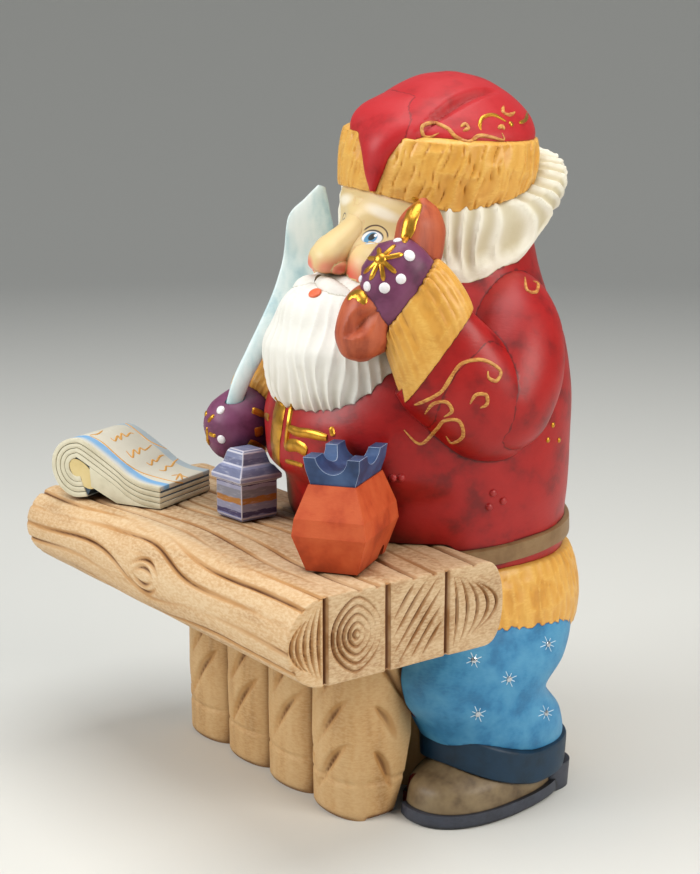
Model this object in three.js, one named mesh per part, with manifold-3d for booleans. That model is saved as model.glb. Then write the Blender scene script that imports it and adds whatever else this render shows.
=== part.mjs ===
// A carved and painted wooden figure in a fur-trimmed coat and hat, writing at a rough log table.
// Millimetres, +Z up. The figure faces -Y, its own left hand is towards +X, and everything stands on z = 0.
import * as THREE from 'three';
import Module from 'manifold-3d';

const wasm = await Module();
wasm.setup();

// Driving sizes

const figureHeight = 230;
const fitGap = 0.3;

const slab = {
  length: 166,
  depth: 77,
  thickness: 26,
  underside: 63.6,
  rearEdge: -18,
  rightEnd: 59,
  frontRound: 13,
  rearRound: 8,
  leftRound: 4,
};

const grain = {
  width: 2.4,
  depth: 1.1,
  spacing: 6.4,
  endWidth: 1.9,
  endDepth: 1.0,
};

const pedestal = {
  logs: 4,
  logWidth: 25.6,
  bulge: 7.5,
  depth: 24,
  rearEdge: -25,
  footTaper: 7,
  rightSide: 24,
  sideBulge: 1.5,
  cutWidth: 3.4,
  cutDepth: 1.5,
};

const inkBox = {
  side: 14,
  bodyHeight: 12.8,
  eave: 1.2,
  roofHeight: 9.4,
  topSide: 7.4,
  fromRight: 85.3,
  fromRear: 35,
  turn: 3,
};

const phone = {
  frontWidth: 15.4,
  depth: 25.5,
  bodyHeight: 25,
  waistHeight: 10.5,
  waistFlare: 3.4,
  topInset: 0.6,
  archHeight: 3.6,
  archWidth: 4.2,
  footDepth: 2.8,
  cradleHeight: 8,
  cradleFlare: 1.7,
  cradleScoop: 4.8,
  fromRight: 23.7,
  fromRear: 40.1,
  turn: 35,
};

const scroll = {
  width: 30,
  flatLength: 24,
  sheets: 4,
  sheetThickness: 1.85,
  rollRadius: 10.6,
  edgeGroove: 0.9,
  fromLeft: 11.5,
  fromFront: 17.1,
  turn: 26,
};

const quill = {
  thickness: 2.6,
  bladeWidth: 15.5,
  stemWidth: 5.6,
};

// The figure's free form is written at the height of its crown's last row and scaled to figureHeight

const crownRows = [
  [0, 0.5, 204, 28, 28, 28, 2],
  [0, 1, 212.5, 28.8, 28.4, 28.8, 2],
  [0, 2, 217, 26.4, 25.8, 27, 2],
  [0, 2.6, 221.6, 21.6, 21, 22.6, 2],
  [0, 2.8, 225.6, 15.8, 15.4, 16.4, 2],
  [0, 2.8, 228.6, 9.2, 9, 9.6, 2],
  [0, 2.8, 230, 2, 2, 2, 2],
];
const scale = figureHeight / crownRows[crownRows.length - 1][2];
const tableTopZ = slab.underside + slab.thickness;
const X = new THREE.Vector3(1, 0, 0);
const Y = new THREE.Vector3(0, 1, 0);
const Z = new THREE.Vector3(0, 0, 1);

// Solids

function toSolid(positions, triangles) {
  return new wasm.Manifold(new wasm.Mesh({
    numProp: 3,
    vertProperties: new Float32Array(positions),
    triVerts: new Uint32Array(triangles),
  }));
}

// A closed skin over a row of rings, each ring counterclockwise seen from the way the row runs
function skin(rings, { endless = false } = {}) {
  const count = rings[0].length;
  const positions = rings.flat().flatMap((point) => [point.x, point.y, point.z]);
  const triangles = [];
  const bands = endless ? rings.length : rings.length - 1;
  for (let row = 0; row < bands; row++) {
    const above = (row + 1) % rings.length;
    for (let i = 0; i < count; i++) {
      const a = row * count + i;
      const b = row * count + (i + 1) % count;
      const c = above * count + i;
      const d = above * count + (i + 1) % count;
      triangles.push(a, b, d, a, d, c);
    }
  }
  if (!endless) {
    const first = rings.length * count;
    const lastRow = (rings.length - 1) * count;
    [rings[0], rings[rings.length - 1]].forEach((ring) => {
      const middle = ring.reduce((sum, point) => sum.add(point), new THREE.Vector3()).divideScalar(count);
      positions.push(middle.x, middle.y, middle.z);
    });
    for (let i = 0; i < count; i++) {
      const next = (i + 1) % count;
      triangles.push(first, next, i);
      triangles.push(first + 1, lastRow + i, lastRow + next);
    }
  }
  return toSolid(positions, triangles);
}

function join(solids) {
  return solids.reduce((whole, piece) => whole.add(piece));
}

function toGeometry(solid) {
  const mesh = solid.getMesh();
  const geometry = new THREE.BufferGeometry();
  geometry.setAttribute('position', new THREE.BufferAttribute(new Float32Array(mesh.vertProperties), 3));
  geometry.setIndex(new THREE.BufferAttribute(new Uint32Array(mesh.triVerts), 1));
  return geometry;
}

function box(low, high) {
  const corners = (z) => [
    new THREE.Vector3(low.x, low.y, z),
    new THREE.Vector3(high.x, low.y, z),
    new THREE.Vector3(high.x, high.y, z),
    new THREE.Vector3(low.x, high.y, z),
  ];
  return skin([corners(low.z), corners(high.z)]);
}

// Lofts: each row is [x, y, z, half across, half to the front, half to the back, squareness]

function evenAngles(count) {
  return Array.from({ length: count }, (unused, i) => (i / count) * 2 * Math.PI);
}

// Angles that are close together between two directions and sparse elsewhere
function denseAngles(from, to, dense, sparse) {
  const near = Array.from({ length: dense + 1 }, (unused, i) => from + (to - from) * (i / dense));
  const gap = 2 * Math.PI - (to - from);
  const far = Array.from({ length: sparse }, (unused, i) => to + gap * ((i + 1) / (sparse + 1)));
  return [...near, ...far];
}

function ringAt(row, across, along, angles, relief, share) {
  const [x, y, z, half, front, back, power] = row;
  const normal = new THREE.Vector3().crossVectors(across, along);
  return angles.map((angle, i) => {
    const c = Math.cos(angle);
    const s = Math.sin(angle);
    const { out = 0, lift = 0 } = relief ? relief(angle, share, i) : {};
    const reach = s < 0 ? front : back;
    const u = Math.sign(c) * Math.abs(c) ** (2 / power) * (half + out);
    const v = Math.sign(s) * Math.abs(s) ** (2 / power) * (reach + out);
    return new THREE.Vector3(x, y, z)
      .addScaledVector(across, u)
      .addScaledVector(along, v)
      .addScaledVector(normal, lift);
  });
}

// A loft whose sections all lie level
function tower(rows, { angles = evenAngles(13), relief, turn = 0 } = {}) {
  const across = X.clone().applyAxisAngle(Z, turn);
  const along = Y.clone().applyAxisAngle(Z, turn);
  return rows.map((row, i) => ringAt(row, across, along, angles, relief, i / (rows.length - 1)));
}

// A loft whose sections stand square to its path, or to facing; half across is measured along side
function limb(rows, { angles = evenAngles(12), side = X, facing, relief } = {}) {
  const points = rows.map((row) => new THREE.Vector3(row[0], row[1], row[2]));
  return rows.map((row, i) => {
    const before = points[Math.max(i - 1, 0)];
    const after = points[Math.min(i + 1, points.length - 1)];
    const tangent = facing ?? after.clone().sub(before).normalize();
    const along = new THREE.Vector3().crossVectors(tangent, side).normalize();
    const across = new THREE.Vector3().crossVectors(along, tangent);
    return ringAt(row, across, along, angles, relief, i / (rows.length - 1));
  });
}

function ellipsoid(x, y, z, halfX, halfY, halfZ, count = 14, levels = 7) {
  const rows = Array.from({ length: levels }, (unused, i) => {
    const tilt = -Math.PI / 2 + Math.PI * (i + 0.35) / (levels - 0.3);
    const share = Math.cos(tilt);
    return [x, y, z + halfZ * Math.sin(tilt), halfX * share, halfY * share, halfY * share, 2];
  });
  return tower(rows, { angles: evenAngles(count) });
}

// Alternate points in and out make a row of flutes
function fluted(depth) {
  return (angle, share, i) => ({ out: i % 2 ? -depth : depth });
}

// A V-shaped cut along a path on a surface: points and their outward normals, wide and deep in the middle
function gouge(points, normals, width, depth, { endless = false, tapered = false } = {}) {
  const lift = 0.5;
  const rings = points.map((point, i) => {
    const last = points.length - 1;
    const before = endless ? points[(i + last) % points.length] : points[Math.max(i - 1, 0)];
    const after = endless ? points[(i + 1) % points.length] : points[Math.min(i + 1, last)];
    const tangent = after.clone().sub(before).normalize();
    const normal = normals[i];
    const side = new THREE.Vector3().crossVectors(normal, tangent).normalize();
    const swell = tapered ? 0.12 + 0.88 * Math.sin(Math.PI * i / last) : 1;
    const half = (width / 2) * swell * (1 + lift / depth);
    return [
      point.clone().addScaledVector(side, half).addScaledVector(normal, lift),
      point.clone().addScaledVector(side, -half).addScaledVector(normal, lift),
      point.clone().addScaledVector(normal, -depth * swell),
    ];
  });
  return skin(rings, { endless });
}

// The table top: logs and planks side by side, with the grain carved along them

const slabLeft = slab.rightEnd - slab.length;
const slabFront = slab.rearEdge - slab.depth;
const slabMiddleZ = slab.underside + slab.thickness / 2;
const topRun = slab.depth - slab.frontRound - slab.rearRound;
const noseArc = Math.PI * slab.thickness / 2;
const knot = {
  x: slabLeft + 0.52 * slab.length,
  arc: topRun + 0.46 * noseArc,
  reach: 17,
  halfLength: 9,
  halfHeight: 4.4,
};

// A point of the slab's section and its outward direction, by the distance from the top's rear edge forwards
function slabSurface(x, distance, inset = 0) {
  const half = slab.thickness / 2 - inset;
  if (distance <= topRun) {
    const y = slab.rearEdge - slab.rearRound - distance;
    return { point: new THREE.Vector3(x, y, slabMiddleZ + half), normal: Z.clone() };
  }
  const turn = Math.min((distance - topRun) / noseArc, 1) * Math.PI;
  const normal = new THREE.Vector3(0, -Math.sin(turn), Math.cos(turn));
  const centreY = slabFront + slab.frontRound;
  const reach = slab.frontRound - inset;
  const point = new THREE.Vector3(x, centreY - reach * Math.sin(turn), slabMiddleZ + half * Math.cos(turn));
  return { point, normal };
}

// Where a groove runs at x: it waves with its neighbours and parts around the knot
function grooveCourse(x, start) {
  const run = (x - slabLeft) / slab.length;
  const wave = 2.6 * Math.sin(5.2 * run + 0.045 * start) + 1.2 * Math.sin(12.5 * run + 0.09 * start);
  const fromKnot = start - knot.arc;
  const along = (x - knot.x) / knot.reach;
  const across = fromKnot / (2 * knot.halfHeight);
  const nearness = Math.exp(-along * along - across * across);
  const side = fromKnot < 0 ? -1 : 1;
  return start + wave + side * knot.halfHeight * nearness;
}

function slabSection(x, inset) {
  const grooveCount = Math.floor((topRun + 0.86 * noseArc) / grain.spacing);
  const points = [];
  for (let k = 0; k < grooveCount; k++) {
    const start = grain.spacing * (k + 0.75);
    const fade = 0.55 + 0.45 * Math.sin(2.1 * k + 0.045 * x);
    const course = grooveCourse(x, start);
    [-grain.width / 2, 0, grain.width / 2].forEach((offset, i) => {
      const { point, normal } = slabSurface(x, Math.max(course + offset, 0.2), inset);
      points.push(i === 1 ? point.addScaledVector(normal, -grain.depth * fade) : point);
    });
  }
  const half = slab.thickness / 2 - inset;
  points.push(slabSurface(x, topRun + noseArc, inset).point);
  const rearStart = slab.rearEdge - slab.rearRound;
  for (let i = 0; i <= 5; i++) {
    const turn = -Math.PI / 2 + Math.PI * (i / 5);
    const y = rearStart + (slab.rearRound - inset) * Math.abs(Math.cos(turn)) ** 0.7;
    points.push(new THREE.Vector3(x, y, slabMiddleZ + half * Math.sin(turn)));
  }
  return points;
}

// Arcs and almond rings of the end grain, on the right end face
function endGrainCuts() {
  const x = slab.rightEnd;
  const place = (y, z) => new THREE.Vector3(x, y, z);
  const cut = (path, options) => gouge(path, path.map(() => X), grain.endWidth, grain.endDepth, options);
  const jointYs = [0, 1, 2].map((i) => slabFront + slab.frontRound + i * plankWidth());
  const reach = slab.thickness;
  const cuts = jointYs.map((y) => cut([place(y, slabMiddleZ - reach), place(y, slabMiddleZ + reach)]));
  const plankMiddle = (jointYs[0] + jointYs[1]) / 2;
  for (const share of [0.32, 0.62, 0.94]) {
    const path = evenAngles(8).map((angle) => {
      const pinch = 1 - 0.35 * Math.abs(Math.sin(angle)) ** 3;
      const y = plankMiddle + 0.4 * plankWidth() * share * Math.cos(angle) * pinch;
      return place(y, slabMiddleZ + 0.42 * slab.thickness * share * Math.sin(angle));
    });
    cuts.push(cut(path, { endless: true }));
  }
  for (let i = -1; i <= 2; i++) {
    const y = jointYs[1] + plankWidth() * (0.5 + 0.24 * i);
    const low = Math.max(y - 0.42 * plankWidth(), jointYs[1] + 2.4);
    const high = Math.min(y + 0.42 * plankWidth(), jointYs[2] - 2.4);
    const rise = (value) => slabMiddleZ + (value - y) * 1.25;
    cuts.push(cut([place(low, rise(low)), place(high, rise(high))]));
  }
  for (const [edge, way] of [[jointYs[0], -1], [jointYs[2], 1]]) {
    const width = way < 0 ? slab.frontRound : slab.rearEdge - jointYs[2];
    for (const share of [0.28, 0.52, 0.76]) {
      const path = [-1, -0.4, 0.4, 1].map((step) => {
        const bow = way * width * share * (1 - 0.42 * step * step);
        return place(edge + bow, slabMiddleZ + 0.4 * slab.thickness * step * (1.12 - 0.5 * share));
      });
      cuts.push(cut(path));
    }
  }
  return cuts;
}

function plankWidth() {
  return (slab.depth - slab.frontRound) / 3;
}

function knotCuts() {
  return [1, -1].map((side) => {
    const path = [-1, -0.5, 0, 0.5, 1].map((step) => {
      const across = side * knot.halfHeight * (1 - step * step);
      return slabSurface(knot.x + knot.halfLength * step, knot.arc + across);
    });
    const points = path.map(({ point }) => point);
    const normals = path.map(({ normal }) => normal);
    return gouge(points, normals, grain.width, grain.depth, { tapered: true });
  });
}

function tableTop() {
  const stations = 9;
  const ends = [
    [slabLeft, slab.leftRound],
    [slabLeft + 0.35 * slab.leftRound, 0.3 * slab.leftRound],
  ];
  const run = Array.from({ length: stations }, (unused, i) => {
    const share = i / (stations - 1);
    return [THREE.MathUtils.lerp(slabLeft + 1.5 * slab.leftRound, slab.rightEnd, share), 0];
  });
  const body = skin([...ends, ...run].map(([x, inset]) => slabSection(x, inset)));
  return [...endGrainCuts(), ...knotCuts()].reduce((solid, cut) => solid.subtract(cut), body);
}

// The pedestal: a block whose front is carved as half logs

const pedestalTop = slab.underside - fitGap;
const pedestalFront = pedestal.rearEdge - pedestal.depth;
const pedestalLeft = pedestal.rightSide - pedestal.logs * pedestal.logWidth;

// The half logs' outline in plan, from the left side along the front to the rear corner of the right side
function pedestalOutline(widen, bulge, taper) {
  const points = [];
  const perLog = 4;
  for (let log = 0; log < pedestal.logs; log++) {
    for (let i = 0; i < perLog; i++) {
      const turn = Math.PI * (i / perLog);
      const x = pedestalLeft + pedestal.logWidth * (log + 0.5 - 0.5 * Math.cos(turn));
      const y = pedestalFront + pedestal.bulge - (pedestal.bulge + widen) * Math.sin(turn) ** 0.8;
      points.push(new THREE.Vector2(x, y));
    }
  }
  const right = pedestal.rightSide + widen;
  const left = pedestalLeft - widen;
  const rear = pedestal.rearEdge - taper;
  points.push(new THREE.Vector2(right, pedestalFront + pedestal.bulge));
  points.push(new THREE.Vector2(right + bulge, (pedestalFront + rear) / 2 + 4));
  points.push(new THREE.Vector2(right, rear));
  points.push(new THREE.Vector2(left, rear));
  return points;
}

// The point at a share of one half log's front, and its outward normal
function logFront(log, share, z) {
  const turn = Math.PI * share;
  const x = pedestalLeft + pedestal.logWidth * (log + 0.5 - 0.5 * Math.cos(turn));
  const y = pedestalFront + pedestal.bulge - pedestal.bulge * Math.sin(turn) ** 0.8;
  const normal = new THREE.Vector3(-Math.cos(turn) * 0.75, -1, 0).normalize();
  return { point: new THREE.Vector3(x, y, z), normal };
}

function leafCut(log, fromShare, toShare, lowZ, highZ) {
  const path = [0, 0.5, 1].map((step) => {
    const share = THREE.MathUtils.lerp(fromShare, toShare, step);
    return logFront(log, share, THREE.MathUtils.lerp(lowZ, highZ, step));
  });
  const points = path.map(({ point }) => point);
  const normals = path.map(({ normal }) => normal);
  return gouge(points, normals, pedestal.cutWidth, pedestal.cutDepth, { tapered: true });
}

function sideLeafCut(low, high) {
  const bow = 2;
  const points = [0, 0.5, 1].map((step) => new THREE.Vector3(
    pedestal.rightSide + pedestal.sideBulge * 0.8,
    THREE.MathUtils.lerp(low.y, high.y, step),
    THREE.MathUtils.lerp(low.z, high.z, step) + bow * Math.sin(Math.PI * step),
  ));
  return gouge(points, points.map(() => X), pedestal.cutWidth, pedestal.cutDepth, { tapered: true });
}

function tablePedestal() {
  const ring = 12;
  const levels = [
    { z: 0, widen: -0.8, bulge: 0.2, taper: 1 },
    { z: 1.2, widen: 0, bulge: 0.4, taper: 0.9 },
    { z: ring - 1.2, widen: 0.1, bulge: 0.8, taper: 0.4 },
    { z: ring, widen: -0.7, bulge: 0.8, taper: 0.35 },
    { z: ring + 1.2, widen: 0.1, bulge: 0.8, taper: 0.3 },
    { z: 0.4 * pedestalTop, widen: 0.6, bulge: 1, taper: 0 },
    { z: pedestalTop, widen: 0, bulge: 0.6, taper: 0 },
  ];
  const rings = levels.map(({ z, widen, bulge, taper }) => {
    const outline = pedestalOutline(widen, bulge * pedestal.sideBulge, taper * pedestal.footTaper);
    return outline.map(({ x, y }) => new THREE.Vector3(x, y, z));
  });
  let solid = skin(rings);
  const rise = 14;
  for (let log = 0; log < pedestal.logs; log++) {
    const rows = log === 1 ? 2 : 3;
    for (let row = 0; row < rows; row++) {
      const low = 16 + rise * row - 2 * (log % 2);
      solid = solid.subtract(leafCut(log, 0.4, 0.74, low, low + rise));
    }
    const low = 18 + rise * (log % 3);
    solid = solid.subtract(leafCut(log, 0.3, 0.06, low, low + rise));
  }
  const edge = pedestalFront + pedestal.bulge;
  for (let row = 0; row < 3; row++) {
    const low = 8 + 15 * row;
    const reach = 9 + 2 * row;
    solid = solid.subtract(sideLeafCut({ y: edge + reach, z: low }, { y: edge + 1.5, z: low + 15 }));
  }
  return solid;
}

// The ink box: a square box with painted bands under a stepped roof

function squareRing(half, z) {
  return [[-1, -1], [1, -1], [1, 1], [-1, 1]].map(([x, y]) => new THREE.Vector3(x * half, y * half, z));
}

function inkBoxSolid() {
  const half = inkBox.side / 2;
  const top = inkBox.topSide / 2;
  const roof = inkBox.roofHeight;
  const shoulder = THREE.MathUtils.lerp(half, top, 0.45);
  return skin([
    squareRing(half - 0.6, 0),
    squareRing(half, 1),
    squareRing(half, inkBox.bodyHeight - 0.6),
    squareRing(half + inkBox.eave, inkBox.bodyHeight),
    squareRing(half + inkBox.eave, inkBox.bodyHeight + 0.16 * roof),
    squareRing(shoulder + 1, inkBox.bodyHeight + 0.42 * roof),
    squareRing(shoulder, inkBox.bodyHeight + 0.5 * roof),
    squareRing(top + 0.7, inkBox.bodyHeight + 0.92 * roof),
    squareRing(top, inkBox.bodyHeight + roof),
  ]);
}

// The space that the ink box needs where it stands, with a gap all round
function inkBoxRoom() {
  const half = inkBox.side / 2 + inkBox.eave + fitGap;
  const top = inkBox.topSide / 2 + 0.7 + fitGap;
  const eaveZ = inkBox.bodyHeight + 0.3 * inkBox.roofHeight;
  const topZ = inkBox.bodyHeight + inkBox.roofHeight + fitGap;
  const place = new THREE.Matrix4()
    .makeTranslation(slab.rightEnd - inkBox.fromRight, slab.rearEdge - inkBox.fromRear, tableTopZ + fitGap)
    .multiply(new THREE.Matrix4().makeRotationZ(THREE.MathUtils.degToRad(inkBox.turn)));
  const rings = [squareRing(half, 0), squareRing(half, eaveZ), squareRing(top, topZ)];
  return skin(rings.map((ring) => ring.map((point) => point.applyMatrix4(place))));
}

// The telephone: a faceted body that is widest at its waist, with an arch below and a flared cradle on top

function phoneRing(halfWidth, halfDepth, z, bevel) {
  const w = halfWidth;
  const d = halfDepth;
  return [
    [-w + bevel, -d], [w - bevel, -d], [w, -d + bevel], [w, d - bevel],
    [w - bevel, d], [-w + bevel, d], [-w, d - bevel], [-w, -d + bevel],
  ].map(([x, y]) => new THREE.Vector3(x, y, z));
}

function phoneSolid() {
  const w = phone.frontWidth / 2;
  const d = phone.depth / 2;
  const flare = phone.waistFlare;
  const top = phone.bodyHeight;
  const body = skin([
    phoneRing(w, d, 0, 0.7),
    phoneRing(w + flare, d + 0.8 * flare, phone.waistHeight, 1.1),
    phoneRing(w + 0.8 * flare, d + 0.7 * flare, 0.62 * top, 1.1),
    phoneRing(w - phone.topInset, d - phone.topInset, top, 0.7),
  ]);
  const archY = d - phone.footDepth - phone.archWidth / 2;
  const reach = w + 2 * flare;
  const archRows = [-reach, reach].map((x) => evenAngles(10).map((angle) => new THREE.Vector3(
    x,
    archY + (phone.archWidth / 2) * Math.cos(angle),
    phone.archHeight * Math.sin(angle),
  )));
  const base = w - phone.topInset - 0.4;
  const deep = d - phone.topInset - 0.6;
  const rise = phone.cradleHeight;
  const out = phone.cradleFlare;
  const cradle = skin([
    phoneRing(base, deep, top - 1, 0.5),
    phoneRing(base, deep, top, 0.5),
    phoneRing(base + 0.8 * out, deep + 0.3 * out, top + 0.55 * rise, 0.6),
    phoneRing(base + out, deep + 0.8 * out, top + rise, 0.6),
  ]);
  const scoopZ = top + rise + 0.15 * phone.cradleScoop;
  const far = deep + 2 * out + 2;
  const lengthwise = skin([far, -far].map((y) => evenAngles(12).map((angle) => new THREE.Vector3(
    phone.cradleScoop * Math.cos(angle),
    y,
    scoopZ + 1.15 * phone.cradleScoop * Math.sin(angle),
  ))));
  const wide = base + 2 * out + 2;
  const crosswise = skin([-wide, wide].map((x) => evenAngles(12).map((angle) => new THREE.Vector3(
    x,
    1.25 * phone.cradleScoop * Math.cos(angle),
    scoopZ + 0.85 * phone.cradleScoop * Math.sin(angle),
  ))));
  return body.subtract(skin(archRows)).add(cradle).subtract(lengthwise).subtract(crosswise);
}

// The scroll: a stack of sheets lying flat at one end and rolled under at the other

const stackHeight = scroll.sheets * scroll.sheetThickness;

// The outer line of the sheets, inset by a share of the stack, from the roll's inner end to the flat end
function sheetLine(depthShare) {
  const inset = depthShare * stackHeight;
  const radius = scroll.rollRadius - inset;
  const centre = new THREE.Vector2(scroll.rollRadius, scroll.rollRadius);
  const points = [];
  for (let i = 0; i <= 7; i++) {
    const turn = THREE.MathUtils.degToRad(292 - i * 32.1);
    points.push(new THREE.Vector2(
      centre.x + radius * Math.cos(turn),
      centre.y + radius * Math.sin(turn) * (Math.sin(turn) > 0 ? 0.92 : 1),
    ));
  }
  const sag = [0.24, 0.45, 0.7, 1];
  sag.forEach((share) => {
    const x = 1.9 * scroll.rollRadius + share * scroll.flatLength;
    const fall = (2 * scroll.rollRadius - stackHeight - 1.2) * (1 - share) ** 2.4;
    points.push(new THREE.Vector2(x, stackHeight - inset + fall * 0.92));
  });
  return points;
}

function scrollSolid() {
  const outer = sheetLine(0);
  const end = outer[outer.length - 1];
  const underside = [
    new THREE.Vector2(end.x, 0),
    new THREE.Vector2(1.95 * scroll.rollRadius + 0.25 * scroll.flatLength, 0),
    new THREE.Vector2(1.55 * scroll.rollRadius, 0.42 * scroll.rollRadius),
  ];
  const outline = [...outer, ...underside].reverse();
  const ring = (y) => outline.map((point) => new THREE.Vector3(point.x, y, point.y));
  let solid = skin([ring(scroll.width / 2), ring(-scroll.width / 2)]);
  for (const [y, way] of [[-scroll.width / 2, -1], [scroll.width / 2, 1]]) {
    for (let sheet = 1; sheet < scroll.sheets; sheet++) {
      const line = sheetLine(sheet / scroll.sheets);
      const points = line.map((point) => new THREE.Vector3(point.x, y, point.y));
      const normal = new THREE.Vector3(0, way, 0);
      solid = solid.subtract(gouge(points, points.map(() => normal), scroll.edgeGroove, scroll.edgeGroove));
    }
  }
  return solid;
}

// The figure's head is tilted towards its raised hand, about the neck

const neck = new THREE.Vector3(0, 2, 165);
const headTilt = THREE.MathUtils.degToRad(6);
const tiltHead = new THREE.Matrix4().makeTranslation(neck.x, neck.y, neck.z)
  .multiply(new THREE.Matrix4().makeRotationY(headTilt))
  .multiply(new THREE.Matrix4().makeTranslation(-neck.x, -neck.y, -neck.z));

function tilted(rings) {
  return rings.map((ring) => ring.map((point) => point.applyMatrix4(tiltHead)));
}

function scaled(rings) {
  return rings.map((ring) => ring.map((point) => point.multiplyScalar(scale)));
}

function hatForms() {
  const crown = tower(crownRows, { angles: evenAngles(18) });
  const tail = limb([
    [16, 17, 215, 4, 3, 3, 2],
    [10, 8, 220.4, 10, 5, 5, 2],
    [4.6, -6, 221.4, 14, 5.6, 5.6, 2],
    [5, -18, 217.2, 13, 5.6, 5.6, 2],
    [6, -25.8, 212.8, 10, 5.4, 5.4, 2],
    [6.6, -29, 206.4, 6, 4, 4, 2],
    [7, -30, 200, 3.2, 2.6, 2.6, 2],
    [7.4, -30.4, 195, 0.8, 1, 1, 2],
  ], { angles: evenAngles(10) });
  const lowerEdge = (angle) => {
    const back = Math.sin(angle) + 0.5;
    return back > 0 ? 9 * (back / 1.3) ** 1.2 : -7 * back;
  };
  const chips = fluted(0.5);
  const bandRelief = (angle, share, i) => ({
    out: chips(angle, share, i + Math.round(share * 4)).out,
    lift: (1 - share) * lowerEdge(angle),
  });
  const band = tower([
    [0, 0, 190.4, 27, 27, 27, 2],
    [0, 0, 191.4, 30.2, 30.2, 30.2, 2],
    [0, 0, 201, 30.9, 30.9, 30.9, 2],
    [0, 0, 211, 29.8, 29.8, 29.8, 2],
    [0, 0, 212.4, 27.4, 27.4, 27.4, 2],
  ], { angles: evenAngles(24), relief: bandRelief });
  return [crown, tail, band].map(tilted);
}

// The hair is a ruff of scooped locks: its rim rests on the shoulders and rises behind to the hat
function hairForms() {
  const rows = [
    [0, 5, 163, 26, 22, 27, 2.4],
    [0, 5, 164.5, 31, 26.6, 32, 2.6],
    [0, 5, 176, 32.6, 29, 33.4, 2.8],
    [0, 5, 190, 33.4, 30, 34, 2.8],
    [0, 5, 202, 32.4, 30, 33.2, 2.8],
    [0, 5, 208, 28.5, 26, 28, 2.6],
  ];
  const rim = { rise: 10.8, slope: 21, lowest: -8 };
  const low = rows[0][2];
  const high = rows[rows.length - 1][2];
  const rise = (angle, share) => {
    const z = rows[Math.round(share * (rows.length - 1))][2];
    const atRim = Math.max(rim.lowest, rim.rise + rim.slope * Math.sin(angle));
    return atRim * (high - z) / (high - low);
  };
  const dense = 22;
  const angles = denseAngles(THREE.MathUtils.degToRad(-28), THREE.MathUtils.degToRad(208), dense, 2);
  const flutes = fluted(0.8);
  const relief = (angle, share, i) => ({
    out: i > dense ? 0 : flutes(angle, share, i).out,
    lift: rise(angle, share),
  });
  return [tilted(tower(rows, { angles, relief }))];
}

function faceForms() {
  const head = tower([
    [0, 0, 158, 21, 27, 12, 2.2],
    [0, 0, 167, 24, 29.6, 12, 2.2],
    [0, 0, 175, 24.8, 29.8, 12, 2.2],
    [0, 0, 182, 24.4, 28.6, 12, 2.2],
    [0, 0, 190, 25, 29.4, 12, 2.3],
    [0, 0, 196, 24, 28, 12, 2.2],
  ], { angles: denseAngles(Math.PI, 2 * Math.PI, 10, 2) });
  const nose = limb([
    [0, -27, 191, 4.2, 3, 3, 2],
    [0, -29.2, 185.6, 4.4, 3.2, 3.2, 2],
    [0, -32.6, 181, 5, 4.2, 4.2, 2],
    [0, -37, 177, 5.8, 5.2, 5.2, 2],
    [0, -40.4, 173.8, 6.4, 5.4, 5.4, 2],
    [0, -42, 171, 5.4, 3.8, 3.8, 2],
    [0, -42.2, 169.8, 2.2, 1.4, 1.4, 2],
  ], { angles: evenAngles(10) });
  const cheek = { x: 9, y: -30.6, z: 171.5, halfX: 8.4, halfY: 7.6, halfZ: 8.4 };
  const cheeks = [-1, 1].map(
    (side) => ellipsoid(side * cheek.x, cheek.y, cheek.z, cheek.halfX, cheek.halfY, cheek.halfZ, 8, 5),
  );
  return [head, nose, ...cheeks].map(tilted);
}

function beardForms() {
  const dense = 20;
  const angles = denseAngles(THREE.MathUtils.degToRad(178), THREE.MathUtils.degToRad(362), dense, 2);
  const relief = (angle, share, i) => {
    if (i > dense) return {};
    const depth = share < 0.7 ? 0.7 : 0.3;
    return { out: i % 2 ? -depth : depth };
  };
  const beard = tower([
    [0, -25, 125.8, 17, 19, 6, 2.2],
    [0, -25, 128.6, 25, 28, 8, 2.3],
    [0, -25, 135, 28.4, 31, 10, 2.3],
    [0, -25, 146, 29.6, 32, 12, 2.3],
    [0, -25, 156, 27, 27.4, 12, 2.1],
    [0, -25, 164, 21.6, 20.6, 12, 2],
    [0, -25, 169, 15, 14.6, 10, 2],
  ], { angles, relief });
  const sideburns = [-1, 1].map((side) => limb([
    [side * 24, -9, 184, 3, 5, 5, 2],
    [side * 24.4, -12, 174, 4, 7.6, 7.6, 2],
    [side * 23, -17.6, 163, 5, 9, 9, 2],
    [side * 21, -23.6, 151, 4.6, 8.6, 8.6, 2],
  ], { angles: evenAngles(8) }));
  const moustache = [-1, 1].map((side) => limb([
    [side * 0.5, -41.6, 166, 3, 3.2, 3.2, 2],
    [side * 6, -42.8, 164.4, 3.6, 4, 4, 2],
    [side * 13, -40, 160.8, 3.4, 4, 4, 2],
    [side * 19.4, -34.6, 155.6, 1.4, 2.2, 2.2, 2],
  ], { angles: evenAngles(8), side: Y }));
  return [beard, ...sideburns, ...moustache];
}

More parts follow.
